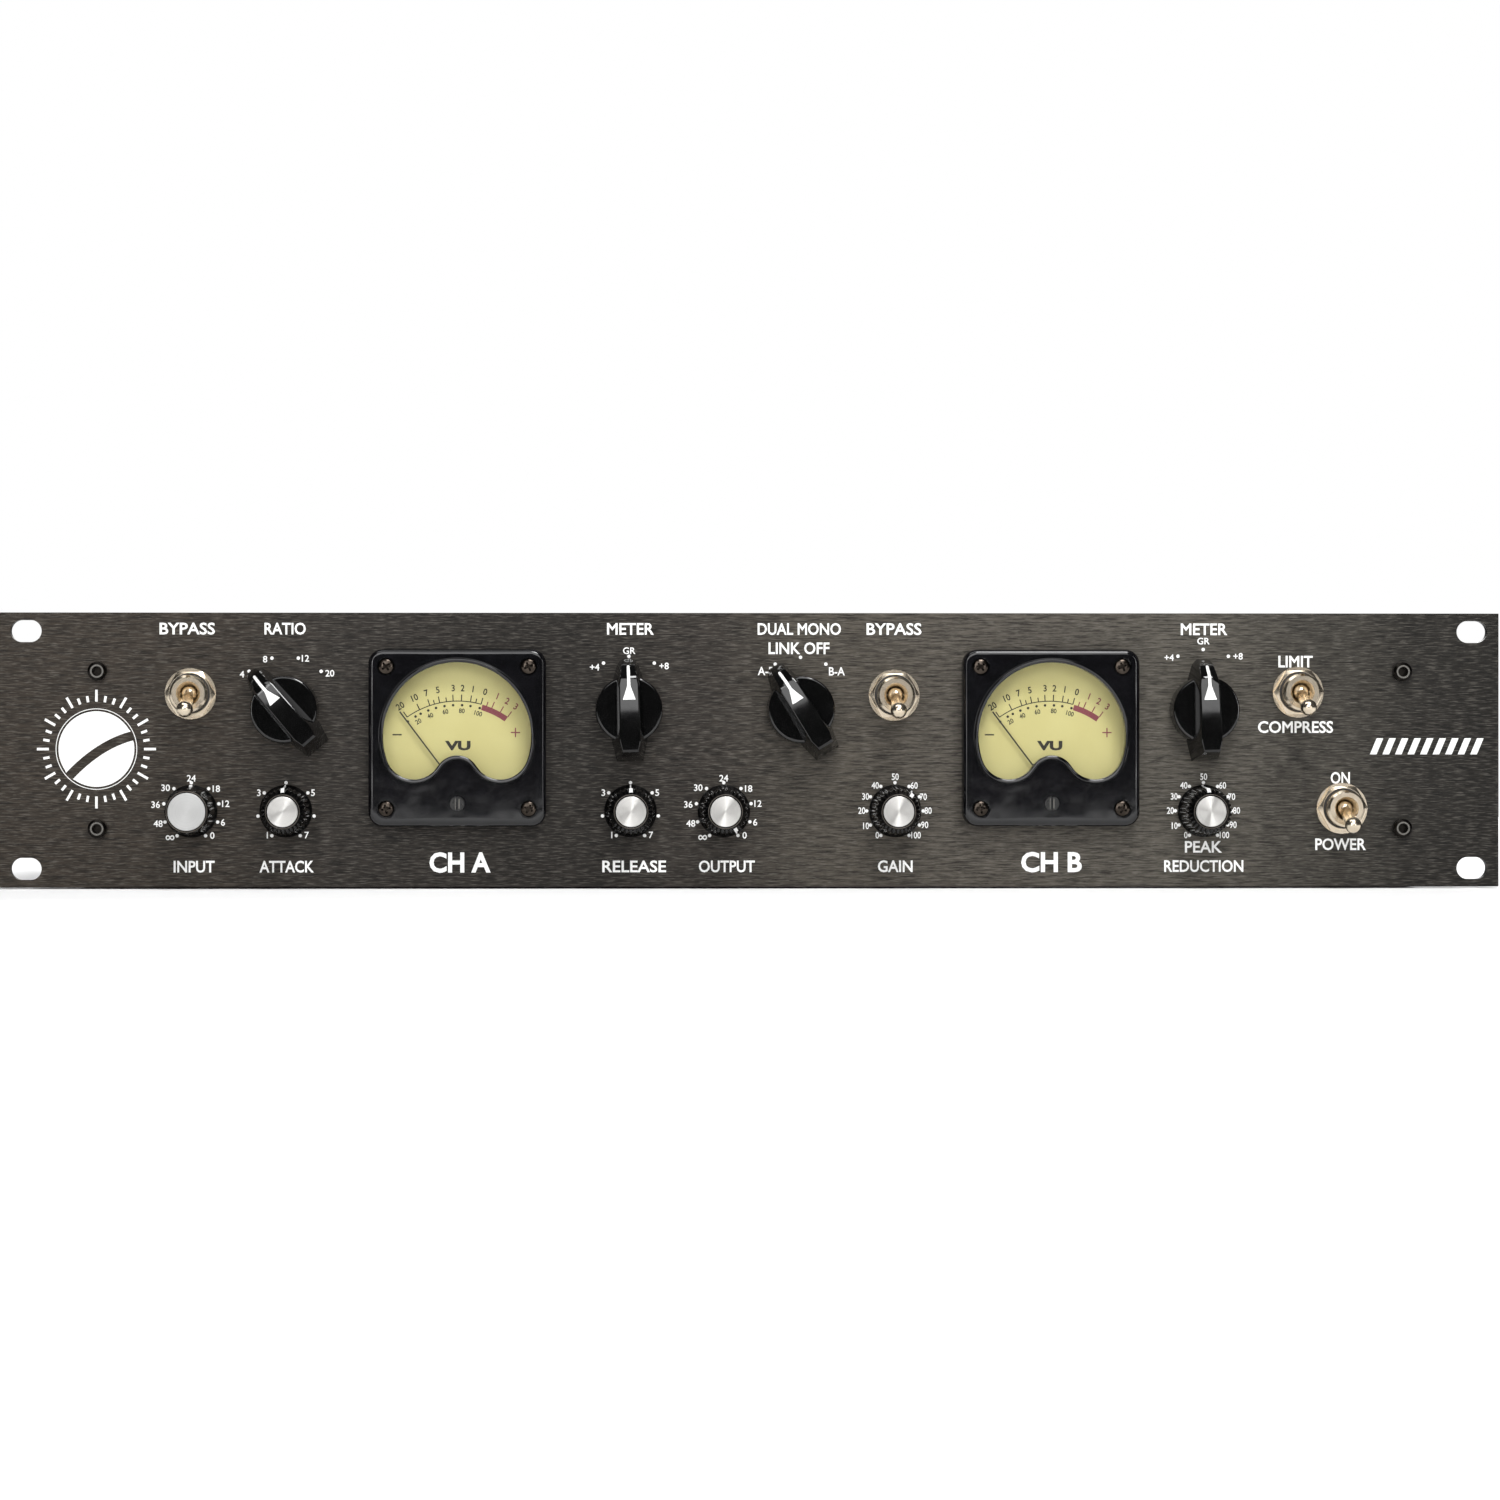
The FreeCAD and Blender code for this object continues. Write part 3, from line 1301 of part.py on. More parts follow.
def circuit_boards():
    boards = []
    holes = [
        cylinder(f"board_hole_{i}", D.clear_hole_radius, D.board_thickness * 3, x, y,
                 BOARD_TOP - D.board_thickness * 2)
        for i, (x, y) in enumerate(board_screw_places(), start=1)
    ]
    rows = (
        ("a", D.board_a_left, D.board_a_width, holes[:4]),
        ("b", D.board_b_left, D.board_b_width, holes[4:]),
    )
    low = BOARD_TOP - D.board_thickness
    for letter, left, width, own_holes in rows:
        size = (width, D.board_length, D.board_thickness)
        plate = box(f"board_plate_{letter}", size, left, D.board_front, low, False)
        boards.append(cut(f"board_{letter}", plate, *own_holes))
    group("circuit_boards", boards)


def board_components():
    """Transformer cans at the rear, capacitors and the optical cell further forward."""
    middle_a = D.board_a_left + D.board_a_width / 2
    middle_b = D.board_b_left + D.board_b_width / 2
    rear = D.board_front + D.board_length - D.can_side
    case = round_edges("transformer_sides", box("transformer_case", (D.can_side, D.can_side, D.can_height)),
                       D.can_edge, upright_edge)
    places = [(middle + side * D.can_side, rear) for middle in (middle_a, middle_b) for side in (-1, 1)]
    group("audio_transformers", [place(copy_of(case), x, y, BOARD_TOP) for x, y in places])
    front = D.board_front + D.can_side
    tin = cylinder("capacitor_tin", D.capacitor_radius, D.capacitor_height)
    tin = round_edges("capacitor", tin, D.capacitor_edge, edge_at_height(D.capacitor_height))
    places = [(middle_a + step * D.can_side, front) for step in (-1, 0, 1)]
    group("smoothing_capacitors", [place(copy_of(tin), x, y, BOARD_TOP) for x, y in places])
    cell = cylinder("optical_tin", D.cell_radius, D.cell_height)
    cell = round_edges("optical", cell, D.capacitor_edge, edge_at_height(D.cell_height))
    place(node("optical_cell", cell), middle_b, front, BOARD_TOP)


def build():
    front_panel()
    chassis_tray()
    rear_panel()
    top_cover()
    panel_screws()
    machine_screws()
    meter_screws()
    panel_nuts()
    round_controls()
    pointer_controls()
    rotary_parts()
    toggles()
    meters()
    sockets()
    mains_inlet()
    fuse_drawer()
    mains_transformer()
    circuit_boards()
    board_components()


def check_and_write():
    doc.recompute()
    broken = [item.Name for item in doc.Objects if {"Invalid", "Error"} & set(item.State)]
    if broken:
        raise RuntimeError(f"failed objects: {broken}")
    for item in nodes:
        if item.Shape.isNull() or not item.Shape.isValid() or not item.Shape.Solids:
            raise RuntimeError(f"bad shape: {item.Label}")
    os.makedirs("parts", exist_ok=True)
    for item in nodes:
        item.Shape.exportStep(f"parts/{item.Label}.step")
        print(f"{item.Label}: {len(item.Shape.Solids)} solids, {item.Shape.Volume:.1f} mm3")
    print(f"{len(nodes)} nodes")


build()
check_and_write()
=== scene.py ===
import json
import math

import bmesh
import bpy
from mathutils import Matrix, Vector


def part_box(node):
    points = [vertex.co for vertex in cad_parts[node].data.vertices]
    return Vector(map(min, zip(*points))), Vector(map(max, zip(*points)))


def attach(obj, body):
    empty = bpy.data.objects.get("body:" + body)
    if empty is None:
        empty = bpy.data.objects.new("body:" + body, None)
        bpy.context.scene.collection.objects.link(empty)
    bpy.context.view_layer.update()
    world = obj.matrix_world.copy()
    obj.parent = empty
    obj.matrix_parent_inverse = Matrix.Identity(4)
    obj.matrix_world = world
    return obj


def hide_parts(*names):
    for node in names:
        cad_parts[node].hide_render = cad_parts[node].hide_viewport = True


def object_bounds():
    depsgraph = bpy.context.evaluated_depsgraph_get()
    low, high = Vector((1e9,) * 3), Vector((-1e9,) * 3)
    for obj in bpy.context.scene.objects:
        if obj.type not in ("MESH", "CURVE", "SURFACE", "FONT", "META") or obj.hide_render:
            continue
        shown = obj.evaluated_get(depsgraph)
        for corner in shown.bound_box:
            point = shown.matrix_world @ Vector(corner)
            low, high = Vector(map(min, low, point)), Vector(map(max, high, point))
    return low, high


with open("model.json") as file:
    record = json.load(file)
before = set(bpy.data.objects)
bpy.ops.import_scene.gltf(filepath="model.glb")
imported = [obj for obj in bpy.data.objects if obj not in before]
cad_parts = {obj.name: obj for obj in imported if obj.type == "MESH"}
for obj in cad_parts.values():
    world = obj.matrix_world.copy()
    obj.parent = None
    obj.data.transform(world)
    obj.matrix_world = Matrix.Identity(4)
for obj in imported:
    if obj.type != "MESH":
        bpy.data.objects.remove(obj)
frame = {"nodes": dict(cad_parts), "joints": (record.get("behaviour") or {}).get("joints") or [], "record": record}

cad_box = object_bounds()

# Lengths are in millimetres in a flat frame on the panel: x to the right, y up, z out of it.
MM = 0.001
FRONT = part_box("front_panel")[0].y
PANEL_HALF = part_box("front_panel")[1].x / MM
INK = 0.03
CAP_HEIGHT = 0.69

JOINTS = {joint["name"]: joint for joint in frame["joints"]}

# Which way each control stands at rest, in degrees clockwise from up.
SELECTOR_TURNS = {"ratio": -41.0, "meter_a": -1.5, "link": -32.0, "meter_b": -1.5}
POT_TURNS = {"input": 0.0, "attack": -1.0, "release": 0.0, "output": 150.0, "gain": 40.0,
             "peak_reduction": -4.0}
METERS = ("a", "b")
# Painted sheen and shade along the panel, from its left end to its right end: place, how much of the tint, tint.
PANEL_SHEEN_AND_SHADE = (
    (0.0, 0.78, (0.044, 0.034, 0.025)),
    (0.12, 0.78, (0.046, 0.036, 0.027)),
    (0.24, 0.83, (0.031, 0.026, 0.0215)),
    (0.38, 0.68, (0.025, 0.021, 0.0172)),
    (0.46, 0.76, (0.042, 0.035, 0.029)),
    (0.56, 0.82, (0.086, 0.075, 0.060)),
    (0.66, 0.86, (0.096, 0.085, 0.070)),
    (0.80, 0.93, (0.094, 0.085, 0.070)),
    (0.88, 0.78, (0.064, 0.058, 0.048)),
    (0.955, 0.68, (0.026, 0.023, 0.019)),
    (1.0, 0.70, (0.016, 0.014, 0.011)),
)
PANEL_SHEEN_TONES = [(place, [share * part for part in tint]) for place, share, tint in PANEL_SHEEN_AND_SHADE]


def spot(joint):
    """A joint's place on the panel, to the right and up."""
    x, _, z = JOINTS[joint]["pos_m"]
    return x / MM, z / MM


def centre_of(node):
    low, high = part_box(node)
    return (low.x + high.x) / 2 / MM, (low.z + high.z) / 2 / MM


def on_panel(x=0.0, up=0.0, out=0.0, turn=0.0):
    """Place of a flat frame: moved on the panel, then turned clockwise about its z."""
    place = Matrix.Translation((x * MM, FRONT - out * MM, up * MM))
    return place @ Matrix.Rotation(math.radians(turn), 4, "Y") @ Matrix.Rotation(math.pi / 2, 4, "X")


# ---- Meshes. ----


def piece(name, bm, material, place, body, sharp=35.0, ink=False):
    """One visible piece from a bmesh in millimetres; it rides on a body."""
    bmesh.ops.scale(bm, vec=(MM, MM, MM), verts=bm.verts)
    if not ink:
        bmesh.ops.recalc_face_normals(bm, faces=bm.faces)
    mesh = bpy.data.meshes.new(name)
    bm.to_mesh(mesh)
    bm.free()
    mesh.materials.append(material)
    mesh.shade_smooth()
    mesh.set_sharp_from_angle(angle=math.radians(sharp))
    item = bpy.data.objects.new(name, mesh)
    bpy.context.scene.collection.objects.link(item)
    item.matrix_world = place
    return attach(item, body)


def loft(bm, rings, closed=False):
    """Skin between rings of equal length. The first and last are capped, or joined if closed."""
    rows = [[bm.verts.new(point) for point in ring] for ring in rings]
    count = len(rows[0])
    pairs = list(zip(rows, rows[1:]))
    if closed:
        pairs.append((rows[-1], rows[0]))
    for low, high in pairs:
        for i in range(count):
            j = (i + 1) % count
            bm.faces.new((low[i], low[j], high[j], high[i]))
    if not closed:
        bm.faces.new(reversed(rows[0]))
        bm.faces.new(rows[-1])
    return bm


def circle(radius, z, sides=96, x=0.0, y=0.0):
    steps = (math.tau * i / sides for i in range(sides))
    return [(x + radius * math.sin(a), y + radius * math.cos(a), z) for a in steps]


def turned(profile, sides=96, closed=False):
    return loft(bmesh.new(), [circle(radius, z, sides) for radius, z in profile], closed)


def rounded(profile, radius, steps=4):
    """An open profile with its inner corners rounded."""
    out = [profile[0]]
    for before, corner, after in zip(profile, profile[1:], profile[2:]):
        p, a, b = Vector(corner), Vector(before), Vector(after)
        reach = min(radius, (a - p).length / 2.2, (b - p).length / 2.2)
        start, end = p + (a - p).normalized() * reach, p + (b - p).normalized() * reach
        for i in range(steps + 1):
            t = i / steps
            out.append(tuple(start * (1 - t) ** 2 + p * (2 * t * (1 - t)) + end * t ** 2))
    return out + [profile[-1]]


class Print:
    """A layer of ink: words, dots and lines drawn flat, with a real thickness."""

    def __init__(self):
        self.bm = bmesh.new()

    def area(self, outline):
        low = [self.bm.verts.new((x, y, 0.0)) for x, y in outline]
        high = [self.bm.verts.new((x, y, INK)) for x, y in outline]
        self.bm.faces.new(reversed(low))
        self.bm.faces.new(high)
        for i, vert in enumerate(low):
            j = (i + 1) % len(low)
            self.bm.faces.new((vert, low[j], high[j], high[i]))

    def dot(self, x, y, radius, sides=24):
        steps = (math.tau * i / sides for i in range(sides))
        self.area([(x + radius * math.cos(a), y + radius * math.sin(a)) for a in steps])

    def line(self, start, end, width):
        a, b = Vector(start), Vector(end)
        side = (b - a).normalized().orthogonal() * width / 2
        self.area([tuple(a + side), tuple(a - side), tuple(b - side), tuple(b + side)])

    def band(self, centre, inner, outer, start, end, steps=48):
        """A part of a ring; angles in degrees clockwise from up."""
        angles = [math.radians(start + (end - start) * i / steps) for i in range(steps + 1)]
        points = [(outer, a) for a in reversed(angles)] + [(inner, a) for a in angles]
        if abs(end - start) < 360:
            self.area([(centre[0] + r * math.sin(a), centre[1] + r * math.cos(a)) for r, a in points])
            return
        rings = [circle(r, z, steps, *centre) for r, z in
                 ((inner, 0.0), (inner, INK), (outer, INK), (outer, 0.0))]
        loft(self.bm, rings, closed=True)

    def words(self, text, x, y, height, width=0.0, squeeze=1.0, weight=0.018, turn=0.0):
        """Letters with caps of a height, centred on a point, and squeezed to a width if one is given."""
        curve = bpy.data.curves.new("letters", "FONT")
        curve.body = text
        curve.size = height / CAP_HEIGHT
        curve.bevel_depth = weight * height
        curve.bevel_resolution = 0
        curve.extrude = INK / 2
        curve.resolution_u = 3
        holder = bpy.data.objects.new("letters", curve)
        mesh = bpy.data.meshes.new_from_object(holder)
        low = [min(v.co[i] for v in mesh.vertices) for i in range(2)]
        high = [max(v.co[i] for v in mesh.vertices) for i in range(2)]
        depth = INK / 2 + weight * height
        middle = Vector(((low[0] + high[0]) / 2, (low[1] + high[1]) / 2, -depth))
        squeeze = width / (high[0] - low[0]) if width else squeeze
        place = Matrix.Translation((x, y, 0)) @ Matrix.Rotation(math.radians(-turn), 4, "Z")
        shape = Matrix.Diagonal((squeeze, 1, INK / 2 / depth, 1))
        mesh.transform(place @ shape @ Matrix.Translation(-middle))
        self.bm.from_mesh(mesh)
        bpy.data.objects.remove(holder)
        bpy.data.curves.remove(curve)
        bpy.data.meshes.remove(mesh)

    def done(self, name, material, place, body):
        return piece(name, self.bm, material, place, body, ink=True)


# ---- Materials. ----


class Look:
    """A node material put together round its Principled shader. Patterns are in object space, in metres."""

    def __init__(self, name, roughness=0.5, metallic=0.0, ior=1.5):
        self.material = bpy.data.materials.new(name)
        self.material.use_nodes = True
        self.tree = self.material.node_tree
        self.shader = self.tree.nodes["Principled BSDF"]
        self.shader.inputs["Roughness"].default_value = roughness
        self.shader.inputs["Metallic"].default_value = metallic
        self.shader.inputs["IOR"].default_value = ior
        self.coords = self.tree.nodes.new("ShaderNodeTexCoord").outputs["Object"]

    def node(self, kind, settings=None, **inputs):
        made = self.tree.nodes.new("ShaderNode" + kind)
        for key, value in (settings or {}).items():
            setattr(made, key, value)
        for key, value in inputs.items():
            socket = made.inputs[int(key[1:])] if key[0] == "_" else made.inputs[key]
            if isinstance(value, bpy.types.NodeSocket):
                self.tree.links.new(value, socket)
            else:
                socket.default_value = value
        return made

    def noise(self, scale, stretch=(1, 1, 1), detail=3.0, roughness=0.55):
        mapped = self.node("Mapping", Vector=self.coords, Scale=stretch).outputs["Vector"]
        return self.node("TexNoise", Vector=mapped, Scale=scale, Detail=detail,
                         Roughness=roughness).outputs["Fac"]

    def spread(self, value, low, high, to_low=0.0, to_high=1.0):
        return self.node("MapRange", _0=value, _1=low, _2=high, _3=to_low, _4=to_high).outputs[0]

    def mix(self, value, a, b):
        made = self.node("Mix", {"data_type": "RGBA"}, _0=value)
        for socket, colour in ((made.inputs[6], a), (made.inputs[7], b)):
            if isinstance(colour, bpy.types.NodeSocket):
                self.tree.links.new(colour, socket)
            else:
                socket.default_value = (*colour, 1)
        return made.outputs[2]

    def ramp(self, value, stops):
        made = self.node("ValToRGB", _0=value)
        line = made.color_ramp
        line.interpolation = "EASE"
        while len(line.elements) < len(stops):
            line.elements.new(0.5)
        for element, (place, colour) in zip(line.elements, stops):
            element.position = place
            element.color = (*colour, 1)
        return made.outputs["Color"]

    def colour(self, value, a, b):
        out = self.mix(value, a, b)
        self.tree.links.new(out, self.shader.inputs["Base Color"])
        return out

    def rough(self, value, low, high):
        self.tree.links.new(self.spread(value, 0.3, 0.7, low, high), self.shader.inputs["Roughness"])

    def bump(self, value, depth, strength=0.6):
        before = self.shader.inputs["Normal"]
        inputs = {"Height": value, "Distance": depth, "Strength": strength}
        if before.links:
            inputs["Normal"] = before.links[0].from_socket
        self.tree.links.new(self.node("Bump", **inputs).outputs["Normal"], before)


def anodised_panel():
    """Black anodising over a brushed face: short level streaks, and a painted sheen and shade that change along
    the panel.
    """
    look = Look("panel_anodised", roughness=0.4, metallic=0.4, ior=1.35)
    grain = look.noise(1.0, (110, 1, 1500), detail=4, roughness=0.7)
    scratch = look.noise(1.0, (230, 1, 2600), detail=3, roughness=0.6)
    along = look.node("SeparateXYZ", Vector=look.coords).outputs["X"]
    # tone is the painted sheen and shade along the panel: lighter right of the middle, darker towards the ends.
    tone = look.ramp(look.spread(along, -PANEL_HALF * MM, PANEL_HALF * MM), PANEL_SHEEN_TONES)
    dark = look.mix(0.78, tone, (0.0, 0.0, 0.0))
    streaked = look.mix(look.spread(grain, 0.37, 0.60), dark, tone)
    look.colour(look.spread(scratch, 0.5, 0.68, 0.0, 0.5), streaked, look.mix(0.45, tone, (0.26, 0.24, 0.21)))
    look.rough(grain, 0.34, 0.5)
    look.bump(grain, 0.00004, 0.35)
    look.bump(scratch, 0.00002, 0.3)
    return look.material


def gloss_moulding(name, low, high, roughness=0.16, ripple=0.00004, ior=1.5):
    """Black phenolic or polystyrene with faint flow marks and handling haze."""
    look = Look(name, roughness=roughness, ior=ior)
    haze = look.noise(220, detail=4)
    look.colour(look.spread(haze, 0.35, 0.65), low, high)
    look.rough(look.noise(600, detail=5), roughness * 0.8, roughness * 1.3)
    look.bump(look.noise(110, detail=1), ripple, 0.5)
    return look.material


def worn_metal(name, low, high, roughness, grain=2400, fine=0.2, wear=0.12):
    look = Look(name, roughness=roughness, metallic=1.0)
    haze = look.noise(420, detail=5)
    look.colour(look.spread(haze, 0.32, 0.68), low, high)
    look.rough(look.noise(500, detail=3), roughness * (1 - wear), roughness * (1 + wear))
    look.bump(look.noise(grain, detail=3), 0.000008, fine)
    return look.material


def spun_metal(name, low, high, roughness, anisotropy, groove):
    """Aluminium faced on a lathe: grooves round the piece's own z."""
    look = Look(name, roughness=roughness, metallic=1.0)
    radius = look.node("VectorMath", {"operation": "LENGTH"},
                       _0=look.node("VectorMath", {"operation": "MULTIPLY"}, _0=look.coords,
                                    _1=(1, 1, 0)).outputs[0]).outputs["Value"]
    rings = look.node("TexNoise", {"noise_dimensions": "1D"},
                      W=radius, Scale=groove, Detail=3.0).outputs["Fac"]
    look.colour(look.spread(rings, 0.3, 0.7), low, high)
    look.shader.inputs["Anisotropic"].default_value = anisotropy
    look.shader.inputs["Anisotropic Rotation"].default_value = 0.25
    tangent = look.node("Tangent", {"direction_type": "RADIAL", "axis": "Z"}).outputs["Tangent"]
    look.tree.links.new(tangent, look.shader.inputs["Tangent"])
    look.bump(rings, 0.000006, 0.3)
    return look.material


def dial_paper():
    look = Look("dial_cream", roughness=0.62)
    tone = look.noise(60, detail=3)
    fibre = look.noise(2600, detail=4)
    base = look.mix(look.spread(tone, 0.3, 0.7), (0.550, 0.500, 0.215), (0.600, 0.552, 0.250))
    look.colour(look.spread(fibre, 0.4, 0.75, 0.0, 0.2), base, (0.49, 0.44, 0.19))
    look.bump(fibre, 0.00001, 0.3)
    return look.material


def printed(name, low, high, roughness=0.55):
    look = Look(name, roughness=roughness)
    grain = look.noise(1800, detail=4)
    look.colour(look.spread(grain, 0.35, 0.65), low, high)
    look.bump(grain, 0.00001, 0.3)
    return look.material


def textured_coat():
    look = Look("case_black", roughness=0.55)
    grain = look.noise(1500, detail=4)
    drift = look.mix(look.spread(look.noise(16, detail=3), 0.35, 0.65),
                     (0.022, 0.022, 0.023), (0.034, 0.034, 0.035))
    look.colour(look.spread(grain, 0.3, 0.7), (0.011, 0.011, 0.012), drift)
    look.rough(grain, 0.42, 0.66)
    look.bump(grain, 0.00012, 0.6)
    return look.material


def clear_window():
    """Thin clear plastic: it lets light straight through and mirrors a little of the room."""
    look = Look("window_clear")
    smear = look.noise(90, detail=3)
    gloss = look.node("BsdfGlossy", Color=(1, 1, 1, 1),
                      Roughness=look.spread(smear, 0.3, 0.7, 0.02, 0.08)).outputs[0]
    clear = look.node("BsdfTransparent", Color=(0.985, 0.985, 0.975, 1)).outputs[0]
    facing = look.node("LayerWeight", Blend=0.5).outputs["Facing"]
    steep = look.node("Math", {"operation": "POWER"}, _0=facing, _1=5.0).outputs[0]
    share = look.spread(steep, 0, 1, 0.028, 1)
    both = look.node("MixShader", _0=share, _1=clear, _2=gloss).outputs[0]
    look.tree.links.new(both, look.tree.nodes["Material Output"].inputs["Surface"])
    return look.material


def copper_winding():
    """Turns of enamelled wire under varnished tape, round the coil's own ring."""
    look = Look("winding", roughness=0.38)
    wave = look.node("TexWave", {"wave_type": "BANDS", "bands_direction": "DIAGONAL"}, Vector=look.coords,
                     Scale=160.0, Distortion=3.0, Detail=2.0).outputs["Fac"]
    look.colour(wave, (0.16, 0.055, 0.020), (0.42, 0.19, 0.07))
    look.bump(wave, 0.0003, 0.6)
    return look.material


def circuit_board():
    look = Look("board_green", roughness=0.35)
    tracks = look.node("TexBrick", Vector=look.coords, Scale=90.0).outputs["Fac"]
    look.colour(look.spread(tracks, 0.2, 0.8, 0.0, 0.6), (0.010, 0.085, 0.035), (0.025, 0.17, 0.07))
    look.bump(tracks, 0.00005, 0.4)
    return look.material


LOOKS = {
    "panel_anodised": anodised_panel(),
    "case_black": textured_coat(),
    "screw_black": worn_metal("screw_black", (0.009, 0.008, 0.007), (0.018, 0.016, 0.014), 0.34),
    "nickel": worn_metal("nickel", (0.62, 0.53, 0.405), (0.68, 0.595, 0.47), 0.22, fine=0.0, wear=0.04),
    "pot_case": worn_metal("pot_case", (0.42, 0.42, 0.42), (0.55, 0.55, 0.54), 0.35),
    "switch_case": printed("switch_case", (0.02, 0.03, 0.07), (0.04, 0.05, 0.10)),
    "bezel_black": gloss_moulding("bezel_black", (0.0015, 0.0015, 0.002), (0.004, 0.004, 0.005), 0.07,
                                  ripple=0.00011),
    "window_clear": clear_window(),
    "dial_cream": dial_paper(),
    "housing_black": gloss_moulding("housing_black", (0.010, 0.010, 0.011), (0.022, 0.022, 0.023), 0.4),
    "socket_black": gloss_moulding("socket_black", (0.014, 0.014, 0.015), (0.030, 0.030, 0.031), 0.34),
    "latch_grey": worn_metal("latch_grey", (0.40, 0.40, 0.41), (0.52, 0.52, 0.53), 0.3),
    "inlet_black": gloss_moulding("inlet_black", (0.010, 0.010, 0.011), (0.020, 0.020, 0.021), 0.42),
    "winding": copper_winding(),
    "board_green": circuit_board(),
    "screening_can": worn_metal("screening_can", (0.36, 0.36, 0.35), (0.50, 0.50, 0.48), 0.3),
    "capacitor_sleeve": gloss_moulding("capacitor_sleeve", (0.010, 0.014, 0.035), (0.02, 0.026, 0.06), 0.3),
    "pointer_black": gloss_moulding("pointer_black", (0.0008, 0.0008, 0.0008), (0.002, 0.002, 0.002), 0.07),
    "knob_black": gloss_moulding("knob_black", (0.0008, 0.0008, 0.001), (0.002, 0.002, 0.002), 0.10,
                                 ior=1.28),
    "cap_spun": spun_metal("cap_spun", (0.50, 0.49, 0.47), (0.62, 0.61, 0.59), 0.32, 0.92, 9000),
    "cap_satin": spun_metal("cap_satin", (0.40, 0.40, 0.395), (0.48, 0.48, 0.475), 0.46, 0.25, 5000),
    "shaft_steel": worn_metal("shaft_steel", (0.50, 0.49, 0.47), (0.62, 0.61, 0.59), 0.3),
    "needle_black": printed("needle_black", (0.010, 0.009, 0.008), (0.022, 0.020, 0.018), 0.4),
}
RIM = worn_metal("cap_rim", (0.060, 0.053, 0.045), (0.095, 0.085, 0.074), 0.42)
PANEL_INK = printed("legend_white", (0.76, 0.76, 0.75), (0.88, 0.88, 0.87), 0.5)
DIAL_INK = printed("dial_ink", (0.010, 0.009, 0.006), (0.022, 0.018, 0.012), 0.6)
# Painted highlight: lighter ink for the screws' socket rims and the adjusters' slot edges.
PAINTED_GLINT = printed("painted_glint", (0.085, 0.080, 0.071), (0.112, 0.106, 0.095), 0.45)
# Painted shade: near-black ink for the ring between each toggle's nut and bushing.
PAINTED_GAP_SHADE = printed("painted_gap_shade", (0.006, 0.005, 0.004), (0.011, 0.009, 0.007), 0.6)
RED_INK = printed("dial_red", (0.185, 0.036, 0.050), (0.235, 0.052, 0.068), 0.6)

SCREW_LOOK = worn_metal("screw_bronzed", (0.026, 0.021, 0.017), (0.062, 0.051, 0.042), 0.2)
OWN_LOOKS = {"meter_screws": SCREW_LOOK}
for meter in METERS:
    OWN_LOOKS[f"zero_adjuster_{meter}"] = gloss_moulding("adjuster_grey", (0.006, 0.006, 0.006),
                                                         (0.011, 0.011, 0.010), 0.3)

for name, node in frame["nodes"].items():
    for place in node.material_slots:
        place.material = OWN_LOOKS.get(name) or LOOKS[place.material.name.split(".")[0]]


# ---- What is printed on the panel. ----

TOP_ROW, BOTTOM_ROW = 38.9, -37.4
LABEL, SMALL, NUMBER = 3.6, 2.6, 2.05
DOT = 0.55
SELECTOR_REACH, POT_REACH = 16.3, 9.1


def labels(ink):
    """Words above and below the controls: control, words, their width, steps right and up from it."""
    for joint, text, width, right, row in (
        ("bypass_a_flip", "BYPASS", 17.7, -1.1, TOP_ROW),
        ("ratio_turn", "RATIO", 13.2, 0, TOP_ROW),
        ("meter_a_turn", "METER", 15.05, 0.5, TOP_ROW),
        ("link_turn", "DUAL MONO", 26.8, -0.4, TOP_ROW),
        ("link_turn", "LINK OFF", 19.6, -0.5, TOP_ROW - 6.2),
        ("bypass_b_flip", "BYPASS", 17.7, 0, TOP_ROW),
        ("meter_b_turn", "METER", 15.05, 0.3, TOP_ROW),
        ("input_turn", "INPUT", 13.1, 0.9, BOTTOM_ROW),
        ("attack_turn", "ATTACK", 17.4, 0.2, BOTTOM_ROW),
        ("release_turn", "RELEASE", 20.5, 1.2, BOTTOM_ROW),
        ("output_turn", "OUTPUT", 18.0, 1.0, BOTTOM_ROW),
        ("gain_turn", "GAIN", 11.2, 0.1, BOTTOM_ROW),
        ("peak_reduction_turn", "PEAK", 12.0, 0, BOTTOM_ROW + 6.2),
        ("peak_reduction_turn", "REDUCTION", 25.6, 0.1, BOTTOM_ROW),
    ):
        ink.words(text, spot(joint)[0] + right, row, LABEL, width, weight=0.027)
    for joint, text, width, right, up in (
        ("limit_flip", "LIMIT", 11.1, -0.7, 9.9),
        ("limit_flip", "COMPRESS", 24.3, -0.7, -11.2),
        ("power_flip", "ON", 6.2, -0.4, 9.8),
        ("power_flip", "POWER", 16.4, -0.3, -11.6),
    ):
        x, y = spot(joint)
        ink.words(text, x + right, y + up, LABEL, width, weight=0.027)
    x, y = spot("link_turn")
    for text, right, up in (("A-B", -11.1, 12.5), ("B-A", 11.7, 12.4)):
        ink.words(text, x + right, y + up, SMALL, squeeze=0.9, weight=0.02)
    for joint, rise in (("meter_a_turn", 0), ("meter_b_turn", 3.2)):
        x, y = spot(joint)
        for text, width, right, up in (("GR", 4.0, 0.1, 19.0), ("+4", 0, -11.0, 13.7), ("+8", 0, 11.3, 14.1)):
            ink.words(text, x + right, y + up + rise, NUMBER, width)


